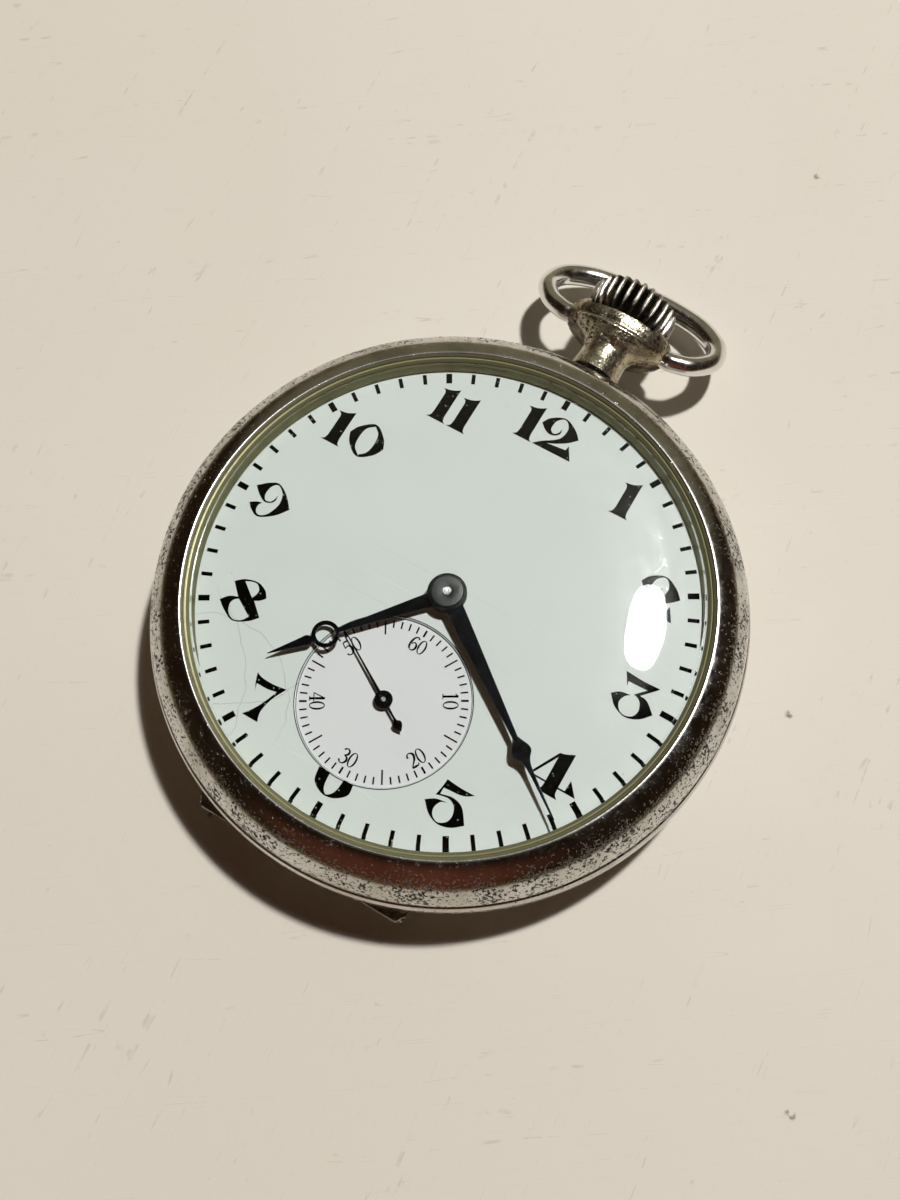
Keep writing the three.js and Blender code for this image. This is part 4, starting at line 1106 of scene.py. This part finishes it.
def minute_boss():
    """The stepped hub pressed on the cannon pinion, with the centre arbor's end in its eye."""
    z, under = high("minute_hand").z, high("cannon_pinion").z + 0.01
    top = max(z + 0.28, under + 0.1)
    profile = rounded(
        [(0.7, z - 0.02), (HUB_R, z - 0.02), (HUB_R, z + 0.06), (1.36, z + 0.16), (1.33, top),
         (0.4, top), (0.4, under), (0.7, under)],
        0.04,
    )
    return lathe("minute_boss", profile, 96)


HUB_R = 1.62  # the hub of the hour and minute hands
HOUR = [
    (0.8, 0.62), (1.8, 0.6), (5, 0.42), (9.4, 0.2), (11.3, 0.17), (11.9, 0.42), (12.5, 0.36),
    (15.3, 0.03),
]
MINUTE = [
    (0.8, 0.7), (2.0, 0.72), (7, 0.5), (12.7, 0.25), (13.3, 0.27), (14.2, 0.74), (14.7, 0.74),
    (15.2, 0.4), (16.2, 0.19), (20.3, 0.07),
]
SECOND = [
    (-3.0, 0.02), (-2.55, 0.34), (-2.2, 0.36), (-1.85, 0.1), (0, 0.13), (3, 0.09), (6.5, 0.045)
]
piece(
    hand("hour_blade", HOUR, "hour_hand", (0, 0), TIME["hour"], 1.03, HUB_R, (10.4, 1.15, 0.8)),
    "hour", "hand_blued", "hour_hand",
)
piece(
    hand("minute_blade", MINUTE, "minute_hand", (0, 0), TIME["minute"], 0.69, HUB_R),
    "centre", "hand_blued", "minute_hand",
)
piece(minute_boss(), "centre", "boss_steel", slot="hand_blued")
piece(
    hand("second_blade", SECOND, "seconds_hand", FOURTH, TIME["second"], 0.24, 0.75),
    "fourth", "hand_blued", "seconds_hand",
)


# ---- carried-over movement ----

# Every CAD node that no piece replaces keeps its mesh, with a fine bevel and its slot's look.
SLOT_OF = {entry["node"]: entry["material_slot"] for entry in frame["record"]["subparts"]}
for node, obj in frame["nodes"].items():
    if obj.hide_render:
        continue
    obj.data.materials.clear()
    obj.data.materials.append(LOOKS[SLOT_OF[node]])
    edge = obj.modifiers.new("edge", "BEVEL")
    edge.width = 0.02 * MM
    edge.segments = 2
    edge.limit_method = "ANGLE"
    edge.angle_limit = math.radians(40)


# ---- stage ----


def table():
    """A pale painted table top, faintly mottled and scuffed."""
    s = Surface("table_paint")
    stain = s.remap(s.noise(0.012, 5.0), 0.35, 0.65)
    colour = s.mix(stain, (0.745, 0.70, 0.62), (0.72, 0.675, 0.585))
    marks = s.times(s.scratches(0.7, (35, 96), 0.005), 0.4)
    colour = s.mix(marks, colour, (0.45, 0.40, 0.34))
    dents = s.remap(s.cells(0.1), 0.03, 0.055, 1, 0)
    dents = s.times(dents, s.remap(s.noise(1.5), 0.4, 0.6))
    colour = s.mix(dents, colour, (0.25, 0.19, 0.14))
    s.set(Base_Color=colour, Roughness=s.remap(s.noise(0.1, 4.0), 0.3, 0.7, 0.5, 0.65))
    s.set(Specular_IOR_Level=0.05)
    s.bump(s.noise(0.5, 4.0), 0.02)
    corners = [(900 * x, 900 * y, 0) for x, y in ((-1, -1), (1, -1), (1, 1), (-1, 1))]
    floor = mesh_object("table_top", corners, [(0, 1, 2, 3)])
    floor.data.transform(Matrix.Scale(MM, 4))
    floor.data.materials.append(s.material)


def camera():
    """Over the watch's 5 o'clock side, turned so that 12 o'clock points to the upper right.
    The lens, the place in metres and the axes come from a fit to the circle of minute marks."""
    data = bpy.data.cameras.new("camera")
    data.lens = 42.353
    data.sensor_width = 36
    data.clip_start = 0.005
    obj = bpy.data.objects.new("camera", data)
    place = (0.022284, -0.031647, 0.117976)
    right = Vector((0.8622, 0.5058, -0.0276)).normalized()
    back = Vector((0.1900, -0.2725, 0.9432)).normalized()
    up = back.cross(right).normalized()
    right = up.cross(back)
    turn = Matrix((right, up, back)).transposed().to_4x4()
    obj.matrix_world = Matrix.Translation(place) @ turn
    bpy.context.scene.collection.objects.link(obj)
    bpy.context.scene.camera = obj


def lamp(name, direction, distance, size, power, colour):
    """A round lamp that faces the watch from that direction. Lengths are metres."""
    data = bpy.data.lights.new(name, "AREA")
    data.shape = "DISK"
    data.size = size
    data.energy = power
    data.color = colour
    obj = bpy.data.objects.new(name, data)
    away = Vector(direction).normalized()
    obj.location = away * distance
    obj.rotation_mode = "QUATERNION"
    obj.rotation_quaternion = (-away).to_track_quat("-Z", "Y")
    bpy.context.scene.collection.objects.link(obj)


def sky():
    """A dim room, with olive-grey and reddish brown things standing in it."""
    world = bpy.data.worlds.new("room")
    bpy.context.scene.world = world
    room = Nodes(world)

    def band(value, stops):
        """A colour for each value, from (value, colour) stops."""
        made = room.node("ShaderNodeValToRGB", {0: value})
        elements = made.color_ramp.elements
        while len(elements) < len(stops):
            elements.new(0.5)
        for element, (position, colour) in zip(elements, stops):
            element.position = position
            element.color = (*colour, 1)
        return made.outputs[0]

    def vector(operation, a, b):
        return room.node("ShaderNodeVectorMath", {0: a, 1: b}, operation=operation).outputs

    place = room.node("ShaderNodeTexCoord").outputs["Generated"]
    height = room.node("ShaderNodeSeparateXYZ", {0: place}).outputs["Z"]
    by_height = [
        (0.0, (0.16, 0.115, 0.06)), (0.08, (0.095, 0.066, 0.033)), (0.2, (0.02, 0.012, 0.006)),
        (1.0, (0.014, 0.008, 0.004)),
    ]
    total = band(height, by_height)
    # Broad soft patches: towards a direction, from nothing at one cosine to full at another.
    for toward, start, end, colour in (
        ((-0.30, 0.81, 0.50), 0.74, 0.92, (0.14, 0.13, 0.085)),
        ((0.25, -0.80, 0.55), 0.78, 0.96, (0.085, 0.022, 0.013)),
    ):
        facing = vector("DOT_PRODUCT", place, Vector(toward).normalized())["Value"]
        patch = band(facing, [(start, (0, 0, 0)), (end, colour)])
        total = vector("ADD", total, patch)[0]
    background = room.node("ShaderNodeBackground", {"Color": total})
    room.node("ShaderNodeOutputWorld", {"Surface": background.outputs[0]})


table()
camera()
sky()
KEY = (0.134, 0.383, 0.914)  # towards the room's lamp: its bulb, and the shade behind it
lamp("key", KEY, 1.2, 0.075, 12.2, (1.0, 0.98, 0.96))
lamp("shade", KEY, 1.22, 0.185, 1.9, (0.97, 0.98, 1.0))
bpy.context.scene.view_settings.view_transform = "Standard"
